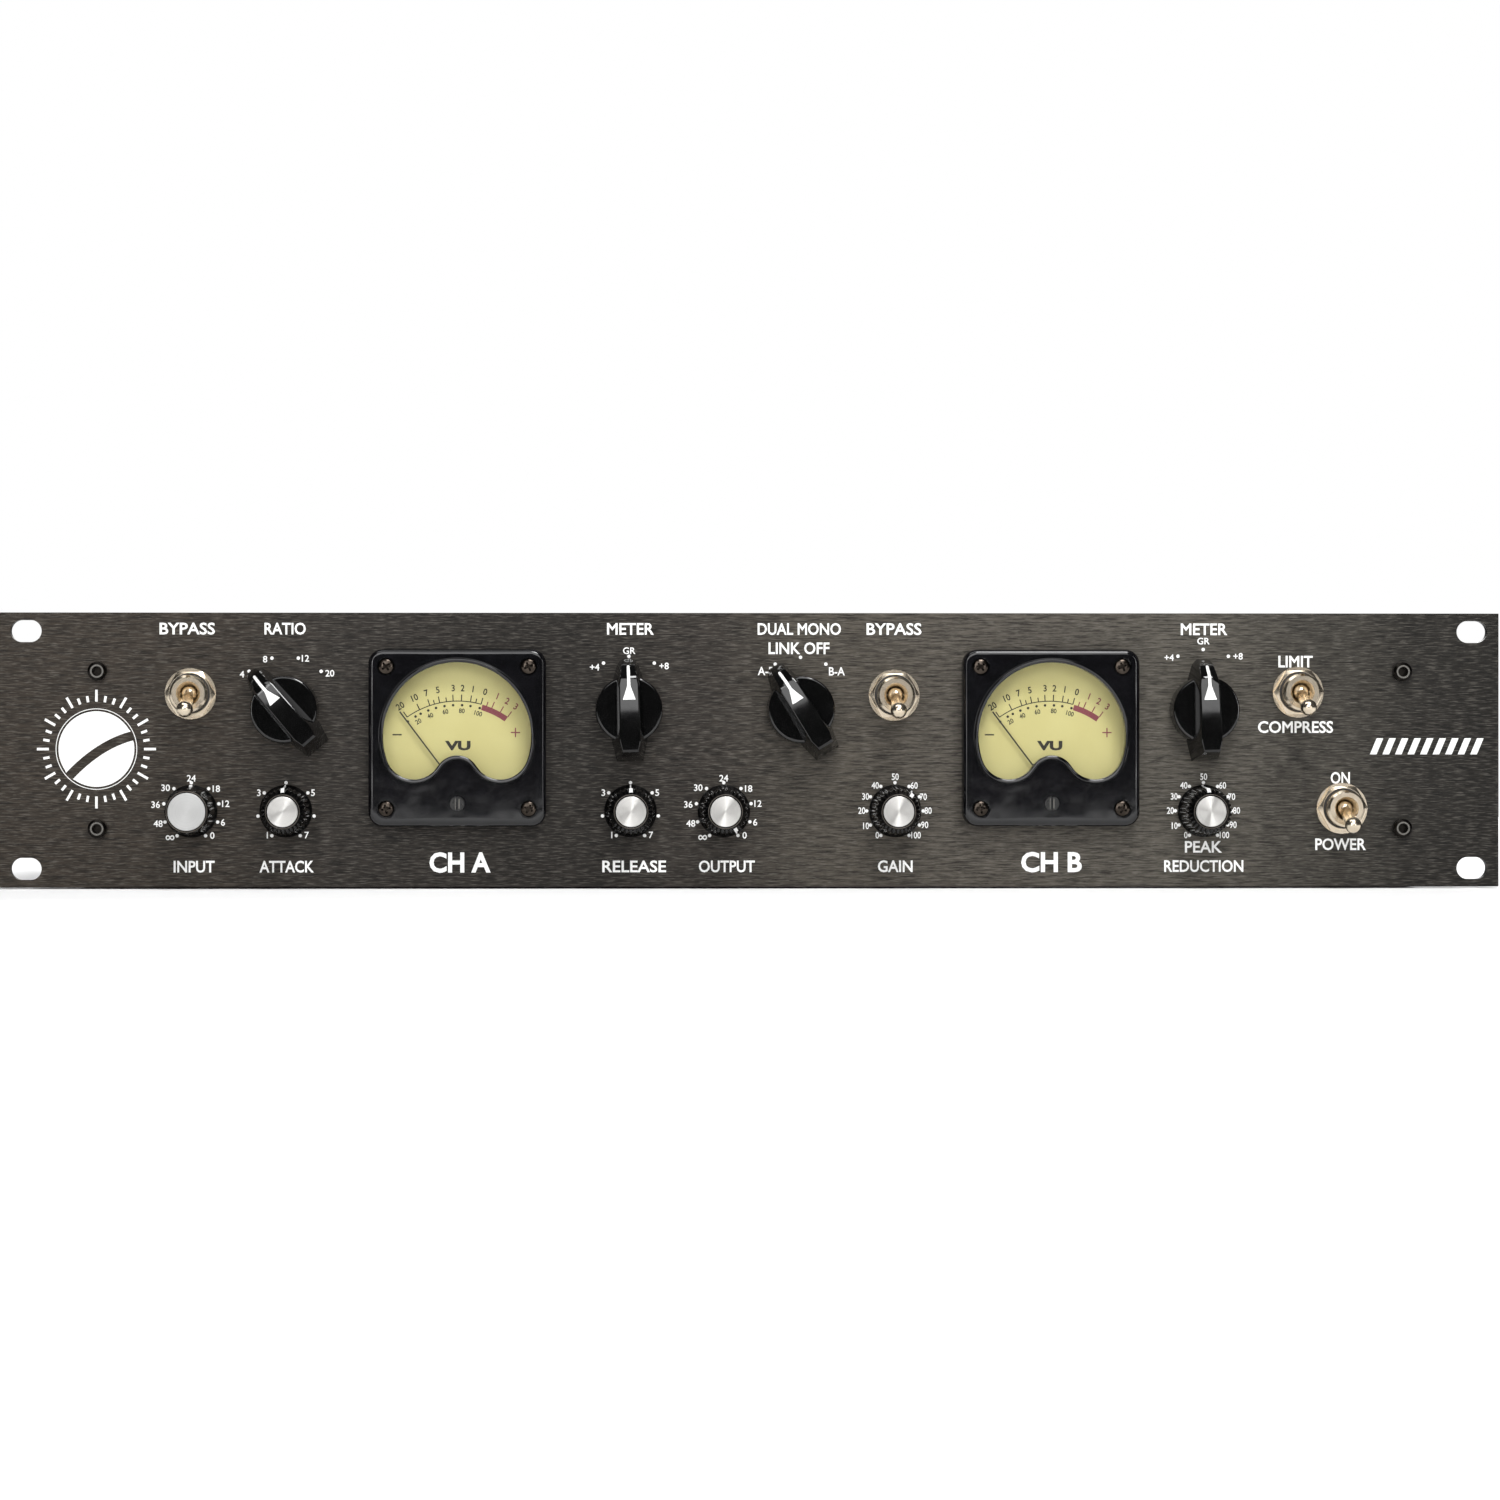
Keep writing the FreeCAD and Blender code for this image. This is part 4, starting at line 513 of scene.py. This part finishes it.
def selector_marks(ink):
    ratio = dict(zip(("4", "8", "12", "20"), (-45, -15, 15, 45)))
    for joint, rise, turns in (
        ("ratio_turn", 0.8, ratio.values()),
        ("meter_a_turn", 0.9, (-30, 0, 30)),
        ("link_turn", 0.6, (-30, 0, 30)),
        ("meter_b_turn", 3.2, (-30, 0, 30)),
    ):
        x, y = spot(joint)
        for turn in map(math.radians, turns):
            ink.dot(x + SELECTOR_REACH * math.sin(turn), y + rise + SELECTOR_REACH * math.cos(turn), DOT)
    x, y = spot("ratio_turn")
    for text, right, up in (("4", -13.8, 11.4), ("8", -6.4, 16.2), ("12", 6.5, 16.5), ("20", 14.3, 11.7)):
        ink.words(text, x + right, y + up, NUMBER)


def pot_marks(ink):
    """A ring of dots round each round knob, with the numbers beside them."""
    level = {"24": (0, 10.55), "30": (-8.2, 7.5), "18": (8.0, 7.2), "36": (-11.4, 2.1), "12": (11.0, 2.4),
             "48": (-10.6, -4.0), "6": (10.1, -3.6), "∞": (-6.8, -8.5), "0": (6.7, -7.8)}
    speed = {"3": (-8.7, 5.9), "5": (8.6, 5.9), "1": (-6.0, -7.7), "7": (6.6, -7.7)}
    percent = {"50": (0.1, 11.0), "40": (-6.35, 8.2), "60": (6.2, 8.2), "30": (-9.45, 4.65),
               "70": (9.15, 4.55), "20": (-10.7, 0.1), "80": (10.7, 0.1), "10": (-9.3, -4.8),
               "90": (9.6, -4.5), "0": (-5.7, -7.8), "100": (6.8, -7.8)}
    scales = {"input": (9, level), "output": (9, level), "attack": (7, speed), "release": (7, speed),
              "gain": (11, percent), "peak_reduction": (11, percent)}
    for name, (count, numbers) in scales.items():
        x, y = spot(f"{name}_turn")
        for i in range(count):
            turn = math.radians(-150 + 300 * i / (count - 1))
            ink.dot(x + POT_REACH * math.sin(turn), y + POT_REACH * math.cos(turn), DOT)
        for text, (right, up) in numbers.items():
            squeeze = 0.8 if numbers is percent else 1.0
            if text == "∞":
                ink.words(text, x + right, y + up, NUMBER * 1.3, width=2.8)
            else:
                ink.words(text, x + right, y + up, NUMBER, squeeze=squeeze)


def emblem(ink, x, y, disc=12.1, ring=13.0, tick=15.2):
    """A plain disc cut in two by a gain curve, inside a ring and a ring of ticks."""
    start, knee, end, half = Vector((-8.6, -8.6)), Vector((0.8, 1.4)), Vector((11.3, 4.2)), 1.5
    left, right = [], []
    for i in range(13):
        t = i / 12
        point = start * (1 - t) ** 2 + knee * (2 * t * (1 - t)) + end * t ** 2
        along = ((knee - start) * (1 - t) + (end - knee) * t).normalized()
        side = Vector((-along.y, along.x)) * half
        left.append(tuple(point + side))
        right.append(tuple(point - side))

    def rim(a, b, steps=44):
        """The disc's edge from one point to another, clockwise."""
        low, high = math.atan2(*a), math.atan2(*b)
        turns = [low + (high - low) % math.tau * i / steps for i in range(1, steps)]
        return [(disc * math.sin(turn), disc * math.cos(turn)) for turn in turns]

    for outline in (rim(left[0], left[-1]) + left[::-1], rim(right[-1], right[0]) + right):
        ink.area([(x + u, y + v) for u, v in reversed(outline)])
    ink.band((x, y), ring - 0.22, ring, 0, 360, 96)
    for i in range(36):
        turn = math.radians(i * 10)
        way = Vector((math.sin(turn), math.cos(turn)))
        reach = tick + (3.8 if i % 3 == 0 else 2.0)
        ink.line(Vector((x, y)) + way * tick, Vector((x, y)) + way * reach, 0.8)


def model_bars(ink, x, y, width=36.6, height=5.2, bars=9, lean=1.1):
    """A row of plain slanted bars."""
    pitch = width / bars
    for i in range(bars):
        left = x - width / 2 + pitch * i + lean
        wide = pitch * 0.52
        ink.area([(left - lean, y - height / 2), (left - lean + wide, y - height / 2),
                  (left + lean + wide, y + height / 2), (left + lean, y + height / 2)])


ink = Print()
labels(ink)
selector_marks(ink)
pot_marks(ink)
emblem(ink, 31.2 - PANEL_HALF, 0.3)
model_bars(ink, PANEL_HALF - 23.5, 1.2)
for meter in METERS:
    ink.words("CH " + meter.upper(), spot(f"needle_{meter}_swing")[0] + 0.7, -36.1, 6.0, width=19.6,
              weight=0.045)
ink.done("panel_legends", PANEL_INK, on_panel(), "root")

# Painted highlights round the panel screws' sockets and along the edges of the adjusters' slots.
HEAD_RADIUS, SOCKET_CORNER, SOCKET_RIM = 3.0, 1.62, 2.12
NUT_TOP, BUSHING_RADIUS, SHADE_RING_RADIUS = 3.4, 5.95, 6.5
# Painted highlight lines along an adjuster's slot edges: place to the right, half length, width of the line.
SLOT_EDGES = ((-0.56, 1.7, 0.2), (0.62, 1.5, 0.36))
low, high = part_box("panel_screws")
ink = Print()
for x in (low.x / MM + HEAD_RADIUS, high.x / MM - HEAD_RADIUS):
    for up in (low.z / MM + HEAD_RADIUS, high.z / MM - HEAD_RADIUS):
        ink.band((x, up), SOCKET_CORNER, SOCKET_RIM, 0, 360, 48)
ink.done("panel_screw_rims", PAINTED_GLINT, on_panel(out=(FRONT - low.y) / MM), "root")
# A ring of painted shade on each toggle nut's top, round its bushing.
ink = Print()
for toggle in ("bypass_a", "bypass_b", "limit", "power"):
    ink.band(spot(f"{toggle}_flip"), BUSHING_RADIUS, SHADE_RING_RADIUS, 0, 360, 72)
ink.done("toggle_nut_painted_shade", PAINTED_GAP_SHADE, on_panel(out=NUT_TOP), "root")
for meter in METERS:
    low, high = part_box(f"zero_adjuster_{meter}")
    ink = Print()
    # Each line is a painted glint on a slot edge.
    for right, half, width in SLOT_EDGES:
        ink.line((right, -half), (right, half), width)
    x, up = centre_of(f"zero_adjuster_{meter}")
    ink.done(f"adjuster_{meter}_edges", PAINTED_GLINT, on_panel(x, up, (FRONT - low.y) / MM), f"adjuster_{meter}")

# Behind, over each socket. The flat frame is seen from behind, so x runs the other way.
ink = Print()
MOUNTS = {mount["name"]: mount["pos_m"] for mount in frame["record"]["mounts"] if "pos_m" in mount}
for meter in METERS:
    for mount, text in ((f"output_{meter}", "OUTPUT"), (f"input_{meter}", "INPUT")):
        ink.words(text, -MOUNTS[mount][0] / MM, 21.5, 2.8)
        ink.words(meter.upper(), -MOUNTS[mount][0] / MM, -21.0, 2.8)
x, _, up = MOUNTS["mains_in"]
ink.words("AC MAINS", -x / MM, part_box("mains_inlet")[1].z / MM + 4.5, 2.8)
rear = Matrix.Translation((0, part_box("rear_panel")[1].y, 0)) @ Matrix.Rotation(math.pi, 4, "Z")
ink.done("rear_legends", PANEL_INK, rear @ Matrix.Rotation(math.pi / 2, 4, "X"), "root")


# ---- What is printed on the dials. ----

SCALE_RADIUS, NUMBER_RADIUS = 28.0, 32.2
MARKS = (("20", -35.3), ("10", -25.8), ("7", -18.6), ("", -15.4), ("5", -11.9), ("", -7.4), ("3", -3.0),
         ("2", 2.4), ("1", 8.4), ("", 11.9), ("0", 15.5))
RED_MARKS = (("", 19.3), ("1", 23.0), ("2", 29.2), ("3", 35.0))
PERCENT = (("", -36.7), ("20", -30.4), ("", -26.4), ("40", -20.7), ("", -15.1), ("60", -9.1), ("", -3.2),
           ("80", 3.0), ("", 8.8), ("100", 15.3))


def on_arc(pivot, radius, turn):
    return pivot + radius * Vector((math.sin(math.radians(turn)), math.cos(math.radians(turn))))


def dial_marks(ink, pivot, marks):
    for text, turn in marks:
        reach = SCALE_RADIUS + (2.1 if text else 1.4)
        ink.line(on_arc(pivot, SCALE_RADIUS, turn), on_arc(pivot, reach, turn), 0.34)
        if text:
            x, y = on_arc(pivot, NUMBER_RADIUS, turn + 0.4)
            ink.words(text, x, y, 2.0, squeeze=0.9, weight=0.03, turn=turn * 0.9)


def dial_print(meter):
    x, up = spot(f"needle_{meter}_swing")
    pivot = Vector((0, 0))
    black, red = Print(), Print()
    dial_marks(black, pivot, MARKS)
    dial_marks(red, pivot, RED_MARKS)
    black.band(pivot, SCALE_RADIUS - 0.15, SCALE_RADIUS + 0.15, -35.3, 15.5)
    red.band(pivot, SCALE_RADIUS - 1.8, SCALE_RADIUS, 16.5, 35.0)
    for text, turn in PERCENT:
        black.dot(*on_arc(pivot, SCALE_RADIUS - 1.3, turn), 0.42)
        if text:
            black.words(text, *on_arc(pivot, SCALE_RADIUS - 3.1, turn), 1.45, squeeze=0.9, weight=0.03,
                        turn=turn)
    black.words("VU", 0, 13.7, 2.7, width=8.2, weight=0.07)
    black.line((-20.9, 17.2), (-17.9, 17.2), 0.45)
    red.line((17.0, 17.9), (20.0, 17.9), 0.4)
    red.line((18.5, 16.4), (18.5, 17.7), 0.4)
    red.line((18.5, 18.1), (18.5, 19.4), 0.4)
    top = (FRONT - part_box("meter_dials")[0].y) / MM
    black.done(f"meter_{meter}_scale", DIAL_INK, on_panel(x, up, top), "root")
    red.done(f"meter_{meter}_scale_red", RED_INK, on_panel(x, up, top), "root")


for meter in METERS:
    dial_print(meter)


# ---- Round knobs. ----

KNOB_BASE = (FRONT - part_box("attack_knob")[1].y) / MM
KNOB_TOP = (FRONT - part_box("attack_knob")[0].y) / MM - KNOB_BASE
SKIRT = (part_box("attack_knob")[1].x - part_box("attack_knob")[0].x) / MM / 2


def fluted_knob(name, turn, top, cap, shoulder, lobes, depth):
    """Skirt, lobed barrel, sloped shoulder and a thin ring round the cap's seat."""
    sides = 336 if lobes == 28 else 240
    seat = KNOB_TOP - 0.6
    profile = [(6.1, 0.0, 0), (SKIRT - 0.15, 0.0, 0), (SKIRT, 0.15, 0), (SKIRT, 0.75, 0),
               (SKIRT - 0.3, 1.05, 0),
               (7.95, 1.3, 0), (7.85, 1.6, 0.3), (7.75, 2.2, 1), (7.4, 8.0, 1), (7.2, shoulder - 0.5, 1),
               (7.05, shoulder, 1), (6.75, shoulder + (KNOB_TOP - shoulder) * 0.25, 0.75),
               ((6.75 + top) / 2, shoulder + (KNOB_TOP - shoulder) * 0.5, 0.25),
               (top + 0.12, KNOB_TOP - 0.35, 0), (top, KNOB_TOP - 0.08, 0), (top - 0.1, KNOB_TOP, 0),
               (cap + 0.16, KNOB_TOP, 0), (cap + 0.06, KNOB_TOP - 0.1, 0), (cap + 0.05, seat, 0),
               (3.05, seat - 0.02, 0), (3.05, 3.4, 0), (6.1, 3.4, 0)]
    rings = []
    for radius, z, cut in profile:
        ring = []
        for i in range(sides):
            a = math.tau * i / sides
            groove = (0.5 - 0.5 * math.cos(lobes * a)) ** 1.6 * depth * cut
            ring.append(((radius - groove) * math.sin(a), (radius - groove) * math.cos(a), z))
        rings.append(ring)
    x, up = spot(f"{name}_turn")
    place = on_panel(x, up, KNOB_BASE, turn)
    body = f"{name}_control"
    shape = loft(bmesh.new(), rings, closed=True)
    knob = piece(f"{name}_knob_body", shape, LOOKS["knob_black"], place, body, 50)
    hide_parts(f"{name}_knob")
    return place, body


def indicator(name, place, body, shoulder, block):
    """White filling of one lobe: a block on the shoulder and a thin line down to the skirt's edge."""
    bm = bmesh.new()
    slope = [(6.15, shoulder + 1.35), (7.0, shoulder + 0.22), (7.32, shoulder - 0.25), (7.5, 8.0),
             (7.95, 1.9), (8.1, 1.35), (SKIRT - 0.08, 0.95)]
    if not block:
        slope = slope[4:]
    rows = []
    for i, (radius, z) in enumerate(slope):
        half = 0.55 if block and i < 3 else 0.22 if block else 0.5
        inner, outer = (radius - 0.35, z - 0.1), (radius + 0.05, z + 0.05)
        rows.append([(-half, *inner), (half, *inner), (half, *outer), (-half, *outer)])
    piece(f"{name}_indicator", loft(bm, rows), PANEL_INK, place, body)


for name, turn in POT_TURNS.items():
    wide = name == "input"
    shoulder = 13.3 if wide else 12.4
    radius = 6.0 if wide else 4.85
    place, body = fluted_knob(name, turn, 6.5 if wide else 5.6, radius, shoulder,
                              12 if wide else 28, 0.6 if wide else 0.5)
    indicator(name, place, body, shoulder, not wide)
    x, up = spot(f"{name}_turn")
    out = (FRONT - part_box(f"{name}_knob_cap")[1].y) / MM
    profile = rounded([(0.02, 0.0), (radius, 0.0), (radius, 0.9), (0.02, 0.9)], 0.18)
    middle = [(0.02, 0.9)] if wide else [(1.2, 0.88), (0.02, 0.86)]
    profile[-1:] = [(radius - 0.3, 0.9)] + middle
    look = "cap_satin" if wide else "cap_spun"
    lid = piece(f"{name}_cap_disc", turned(profile), LOOKS[look], on_panel(x, up, out, turn), body)
    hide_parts(f"{name}_knob_cap")
    seam = radius + (0.2 if wide else 0.3)
    edge = rounded([(seam, KNOB_TOP - 0.4), (seam, KNOB_TOP + 0.02), (seam + 0.42, KNOB_TOP + 0.02),
                    (seam + 0.42, KNOB_TOP - 0.4)], 0.3)
    piece(f"{name}_cap_rim", turned(edge, closed=True), RIM, on_panel(x, up, KNOB_BASE, turn), body)


# ---- Pointer knobs. ----


def cut(bm, tools, operation="DIFFERENCE"):
    """The bmesh with others taken out of it, or joined to it."""
    holders = []
    for shape in (bm, *tools):
        mesh = bpy.data.meshes.new("tool")
        bmesh.ops.recalc_face_normals(shape, faces=shape.faces)
        shape.to_mesh(mesh)
        shape.free()
        holder = bpy.data.objects.new("tool", mesh)
        bpy.context.scene.collection.objects.link(holder)
        holders.append(holder)
    for tool in holders[1:]:
        step = holders[0].modifiers.new("cut", "BOOLEAN")
        step.operation, step.solver, step.object = operation, "EXACT", tool
    result = bmesh.new()
    result.from_object(holders[0], bpy.context.evaluated_depsgraph_get())
    for holder in holders:
        mesh = holder.data
        bpy.data.objects.remove(holder)
        bpy.data.meshes.remove(mesh)
    return result


# Along the bar from nose to tail: place, half width at the panel, height before the ridge's crown.
BAR = ((16.4, 1.6, 3.4), (15.7, 2.5, 6.0), (14.9, 3.15, 8.7), (14.2, 3.5, 11.0), (12.6, 4.0, 13.2),
       (11.0, 4.5, 15.2), (10.6, 4.6, 15.75), (10.0, 4.75, 16.0), (8.0, 5.2, 16.0), (6.0, 5.25, 16.0),
       (4.0, 5.3, 16.0), (2.0, 5.35, 16.0), (0.0, 5.4, 16.0), (-3.0, 5.5, 16.0), (-7.0, 5.6, 16.0),
       (-10.0, 5.7, 16.0), (-12.8, 5.05, 15.9), (-13.6, 4.87, 15.5), (-14.2, 4.75, 13.2), (-16.4, 4.25, 0.3))
DRAFT = math.tan(math.radians(8.5))
CROWN_FROM, CROWN = -17.0, 0.0029


def ridge(v, height):
    return height - CROWN * max(0.0, v - CROWN_FROM) ** 2 * (height / 16.0)


def ridge_at(v):
    for (a, _, high_a), (b, _, high_b) in zip(BAR, BAR[1:]):
        if b <= v <= a:
            return ridge(v, high_b + (high_a - high_b) * (v - b) / (a - b))
    raise ValueError(v)


def bar_section(v, half, height, edge=0.4):
    top = ridge(v, height)
    edge = min(edge, top / 2)
    low, high = half - (top - edge) * DRAFT, half - top * DRAFT
    right = [(half, 0.0), (low, top - edge), (low - edge * 0.25, top - edge * 0.3), (high - edge * 0.75, top)]
    return [(-x, v, z) for x, z in right] + [(x, v, z) for x, z in reversed(right)]


def pointer(name, turn):
    profile = rounded([(0.02, 0.0), (11.0, 0.0), (10.63, 7.0), (0.02, 7.0)], 0.7)
    disc = turned(profile[:-1] + [(9.7, 7.0), (0.02, 7.0)], 160)
    bar = loft(bmesh.new(), [bar_section(*station) for station in BAR])
    base = (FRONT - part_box(f"{name}_knob")[1].y) / MM
    place = on_panel(*spot(f"{name}_turn"), base, turn)
    body = f"{name}_selector"
    knob = piece(f"{name}_pointer", cut(disc, [bar], "UNION"), LOOKS["pointer_black"], place, body, 22)
    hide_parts(f"{name}_knob")
    rows = []
    for v, half in ((14.1, 0.2), (13.9, 0.42), (12.4, 0.47), (11.4, 0.47), (11.0, 0.47), (10.6, 0.47),
                    (10.2, 0.47), (9.8, 0.48), (9.0, 0.48), (7.6, 0.5), (6.1, 0.98), (4.6, 1.5), (3.3, 1.98),
                    (3.1, 1.98)):
        z = ridge_at(v)
        rows.append([(-half, v, z - 0.2), (half, v, z - 0.2), (half, v, z + 0.09), (-half, v, z + 0.09)])
    piece(f"{name}_inlay", loft(bmesh.new(), rows), PANEL_INK, place, body)


for name, turn in SELECTOR_TURNS.items():
    pointer(name, turn)


# ---- Meter bezels. ----

BEZEL_HALF, BEZEL_CORNER = 28.35, 4.7
FACE, COLLAR_TOP, LEDGE, RECESS = 6.6, 8.1, 4.2, 24.8
EYE = (0.0, 1.5)


def arc(x, y, radius, start, end, steps=40):
    """Points on a circle; angles in degrees from right, anticlockwise."""
    angles = (math.radians(start + (end - start) * i / steps) for i in range(steps + 1))
    return [(x + radius * math.cos(a), y + radius * math.sin(a)) for a in angles]


def window(margin):
    """Outline of the window: a big arc over two lobes, with a hump between them."""
    big, lobe, hump = (0.0, 0.5), (13.79, -4.3), (0.0, -12.8)
    lean = math.degrees(math.atan2(lobe[1] - big[1], lobe[0] - big[0]))
    rise = math.degrees(math.atan2(lobe[1] - hump[1], lobe[0] - hump[0]))
    points = arc(*big, 23.6 + margin, lean, 180 - lean, 120)
    points += arc(-lobe[0], lobe[1], 9.0 + margin, 180 - lean, 360 - rise)
    points += arc(*hump, 7.2 - margin, 180 - rise, rise)
    points += arc(*lobe, 9.0 + margin, rise - 180, lean)
    return points


def rounded_square(half, corner):
    points = []
    for x, y, start in ((1, 1, 0), (-1, 1, 90), (-1, -1, 180), (1, -1, 270)):
        points += arc(x * (half - corner), y * (half - corner), corner, start, start + 90, 24)
    return points


def seen_from_eye(outline, sides=288):
    """The outline's points in evenly spaced directions from the window's middle."""
    hits = []
    for i in range(sides):
        way = Vector((math.sin(math.tau * i / sides), math.cos(math.tau * i / sides)))
        reach = 0.0
        for a, b in zip(outline, outline[1:] + outline[:1]):
            p, q = Vector(a) - Vector(EYE), Vector(b) - Vector(EYE)
            side_p, side_q = way.cross(p), way.cross(q)
            if side_p * side_q <= 0 and side_p != side_q:
                point = p + (q - p) * (side_p / (side_p - side_q))
                reach = max(reach, point.dot(way))
        hits.append(Vector(EYE) + way * reach)
    return hits


def crown(point):
    """Height of the bezel's face: a rounded edge, then a slope that flattens out."""
    across, up = BEZEL_HALF - abs(point.x), BEZEL_HALF - abs(point.y)
    inset = min(across, up)
    if across < BEZEL_CORNER and up < BEZEL_CORNER:
        inset = BEZEL_CORNER - Vector((BEZEL_CORNER - across, BEZEL_CORNER - up)).length
    inset = max(inset, 0.0)
    slope = 0.22 * max(0.0, 1 - inset / 2.2) ** 1.5
    edge = 1.1 * max(0.0, 1 - inset / 1.1) ** 2.2
    return FACE - slope - edge


def bezel_rings():
    outer = seen_from_eye(rounded_square(BEZEL_HALF, BEZEL_CORNER))
    collar = seen_from_eye(window(1.5))
    rings = [[(p.x, p.y, 0.0) for p in outer]]
    for reach in (0.0, 0.06, 0.18, 0.35, 0.6, 0.9, 1.3, 1.8, 2.4, 3.0):
        ring = []
        for start, end in zip(outer, collar):
            gap = (end - start).length
            point = start.lerp(end, min(reach, gap * 0.93 * reach / 3.0) / gap)
            ring.append((point.x, point.y, crown(point)))
        rings.append(ring)
    last = [Vector(p[:2]) for p in rings[-1]]
    for share in (0.33, 0.66, 1.0):
        points = [a.lerp(b, share) for a, b in zip(last, collar)]
        rings.append([(p.x, p.y, crown(p)) for p in points])
    for margin, z in ((1.42, 6.95), (1.34, 7.4), (1.2, 7.8), (1.02, 8.0), (0.85, COLLAR_TOP), (0.62, 8.07),
                      (0.4, 8.02), (0.2, 7.94), (0.06, 7.82), (0.0, 7.5), (0.0, LEDGE)):
        rings.append([(p.x, p.y, z) for p in seen_from_eye(window(margin))])
    recess = seen_from_eye([(x, y) for x, y, _ in circle(RECESS, 0)])
    return rings + [[(p.x, p.y, z) for p in recess] for z in (LEDGE, 0.0)]


def well(x, y, low, high, radius, sides=48):
    return loft(bmesh.new(), [circle(radius, z, sides, x, y) for z in (low, high)])


def cross_head(x, y, turn, radius=2.55, height=1.45):
    """A domed screw head with a cross recess cut into it."""
    dome = [(0.02, 0.0), (radius, 0.0), (radius, 0.55), (2.25, 1.0), (1.6, 1.3), (0.8, height - 0.03),
            (0.02, height)]
    wings = []
    for step in (0, 90):
        wing = bmesh.new()
        low = [(-0.95, -0.2), (0.95, -0.2), (0.95, 0.2), (-0.95, 0.2)]
        high = [(-1.7, -0.36), (1.7, -0.36), (1.7, 0.36), (-1.7, 0.36)]
        loft(wing, [[(u, v, z) for u, v in ring] for ring, z in ((low, height - 1.0), (high, height + 0.2))])
        bmesh.ops.rotate(wing, matrix=Matrix.Rotation(math.radians(step), 3, "Z"), verts=wing.verts)
        wings.append(wing)
    head = cut(turned(dome, 64), wings)
    place = Matrix.Translation((x, y, FACE - 1.3)) @ Matrix.Rotation(math.radians(turn), 4, "Z")
    bmesh.ops.transform(head, matrix=place, verts=head.verts)
    return head


def joined(shapes):
    whole = bmesh.new()
    for shape in shapes:
        mesh = bpy.data.meshes.new("part")
        shape.to_mesh(mesh)
        shape.free()
        whole.from_mesh(mesh)
        bpy.data.meshes.remove(mesh)
    return whole


SCREW_REACH = 22.75
SCREW_TURNS = ((-1, -1, 12.0), (-1, 1, 38.0), (1, -1, 64.0), (1, 1, 25.0))
ADJUSTER_DOWN = -21.1
for meter in METERS:
    x = spot(f"needle_{meter}_swing")[0]
    middle = centre_of("meter_bezels")[1]
    wells = [well(sx * SCREW_REACH, sy * SCREW_REACH, FACE - 1.3, 9.0, 2.95)
             for sx in (-1, 1) for sy in (-1, 1)]
    wells += [well(0, ADJUSTER_DOWN, 1.0, 9.0, 2.42), well(0, ADJUSTER_DOWN, 1.0, 4.6, 3.3)]
    shell = cut(loft(bmesh.new(), bezel_rings(), closed=True), wells)
    rim = piece(f"meter_{meter}_bezel", shell, LOOKS["bezel_black"], on_panel(x, middle), "root", 28)
    heads = joined([cross_head(sx * SCREW_REACH, sy * SCREW_REACH, turn) for sx, sy, turn in SCREW_TURNS])
    heads = piece(f"meter_{meter}_screws", heads, SCREW_LOOK, on_panel(x, middle), "root", 28)
    if meter == METERS[0]:
        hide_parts("meter_bezels")
        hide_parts("meter_screws")


# ---- Camera, light and room. ----

scene = bpy.context.scene
scene.view_settings.view_transform = "Standard"


def aim(item, target):
    item.rotation_mode = "QUATERNION"
    item.rotation_quaternion = (Vector(target) - item.location).to_track_quat("-Z", "Y")


def softbox(name, location, target, width, height, watts):
    data = bpy.data.lights.new(name, "AREA")
    data.shape = "RECTANGLE"
    data.size, data.size_y = width, height
    data.energy = watts
    item = bpy.data.objects.new(name, data)
    scene.collection.objects.link(item)
    item.location = location
    aim(item, target)


camera_data = bpy.data.cameras.new("camera")
camera_data.sensor_width = 36
camera_data.lens = 91.9
camera_data.shift_x = 0.0546
camera = bpy.data.objects.new("camera", camera_data)
scene.collection.objects.link(camera)
camera.location = (-0.055, FRONT - 1.23, 0)
aim(camera, (-0.027, FRONT, 0))
scene.camera = camera

softbox("header", (-0.12, -1.3, 0.60), (0, 0, 0), 1.1, 0.66, 8)
softbox("key", (0.25, -0.85, 1.05), (0, 0, 0), 0.5, 0.4, 13)
softbox("left", (-0.66, -1.25, 0.05), (0, 0, 0), 0.16, 0.9, 3)
softbox("right", (0.72, -1.2, 0.1), (0, 0, 0), 0.1, 0.7, 2)
softbox("top", (-0.1, -0.35, 1.2), (0, -0.02, 0), 1.4, 0.5, 7)
softbox("back", (0.3, 1.4, 0.9), (0, 0.2, 0), 1.2, 0.8, 26)

world = bpy.data.worlds.new("room")
scene.world = world
world.use_nodes = True
tree = world.node_tree
seen = tree.nodes["Background"]
seen.inputs["Color"].default_value = (1, 1, 1, 1)
seen.inputs["Strength"].default_value = 1.0
unseen = tree.nodes.new("ShaderNodeBackground")
unseen.inputs["Color"].default_value = (0.95, 0.97, 1, 1)
unseen.inputs["Strength"].default_value = 0.06
ray = tree.nodes.new("ShaderNodeLightPath")
choice = tree.nodes.new("ShaderNodeMixShader")
tree.links.new(ray.outputs["Is Camera Ray"], choice.inputs[0])
tree.links.new(unseen.outputs[0], choice.inputs[1])
tree.links.new(seen.outputs[0], choice.inputs[2])
tree.links.new(choice.outputs[0], tree.nodes["World Output"].inputs["Surface"])


def floor(reach=1.3, steps=12):
    """A plain pale floor under the object."""
    low = cad_box[0].z - 0.0005
    bm = bmesh.new()
    bmesh.ops.create_grid(bm, x_segments=steps, y_segments=steps, size=reach)
    mesh = bpy.data.meshes.new("floor")
    bm.to_mesh(mesh)
    bm.free()
    mesh.materials.append(printed("floor_paper", (0.93, 0.93, 0.93), (0.95, 0.95, 0.95), 0.8))
    item = bpy.data.objects.new("floor", mesh)
    item.location = (0, 0, low)
    scene.collection.objects.link(item)


floor()
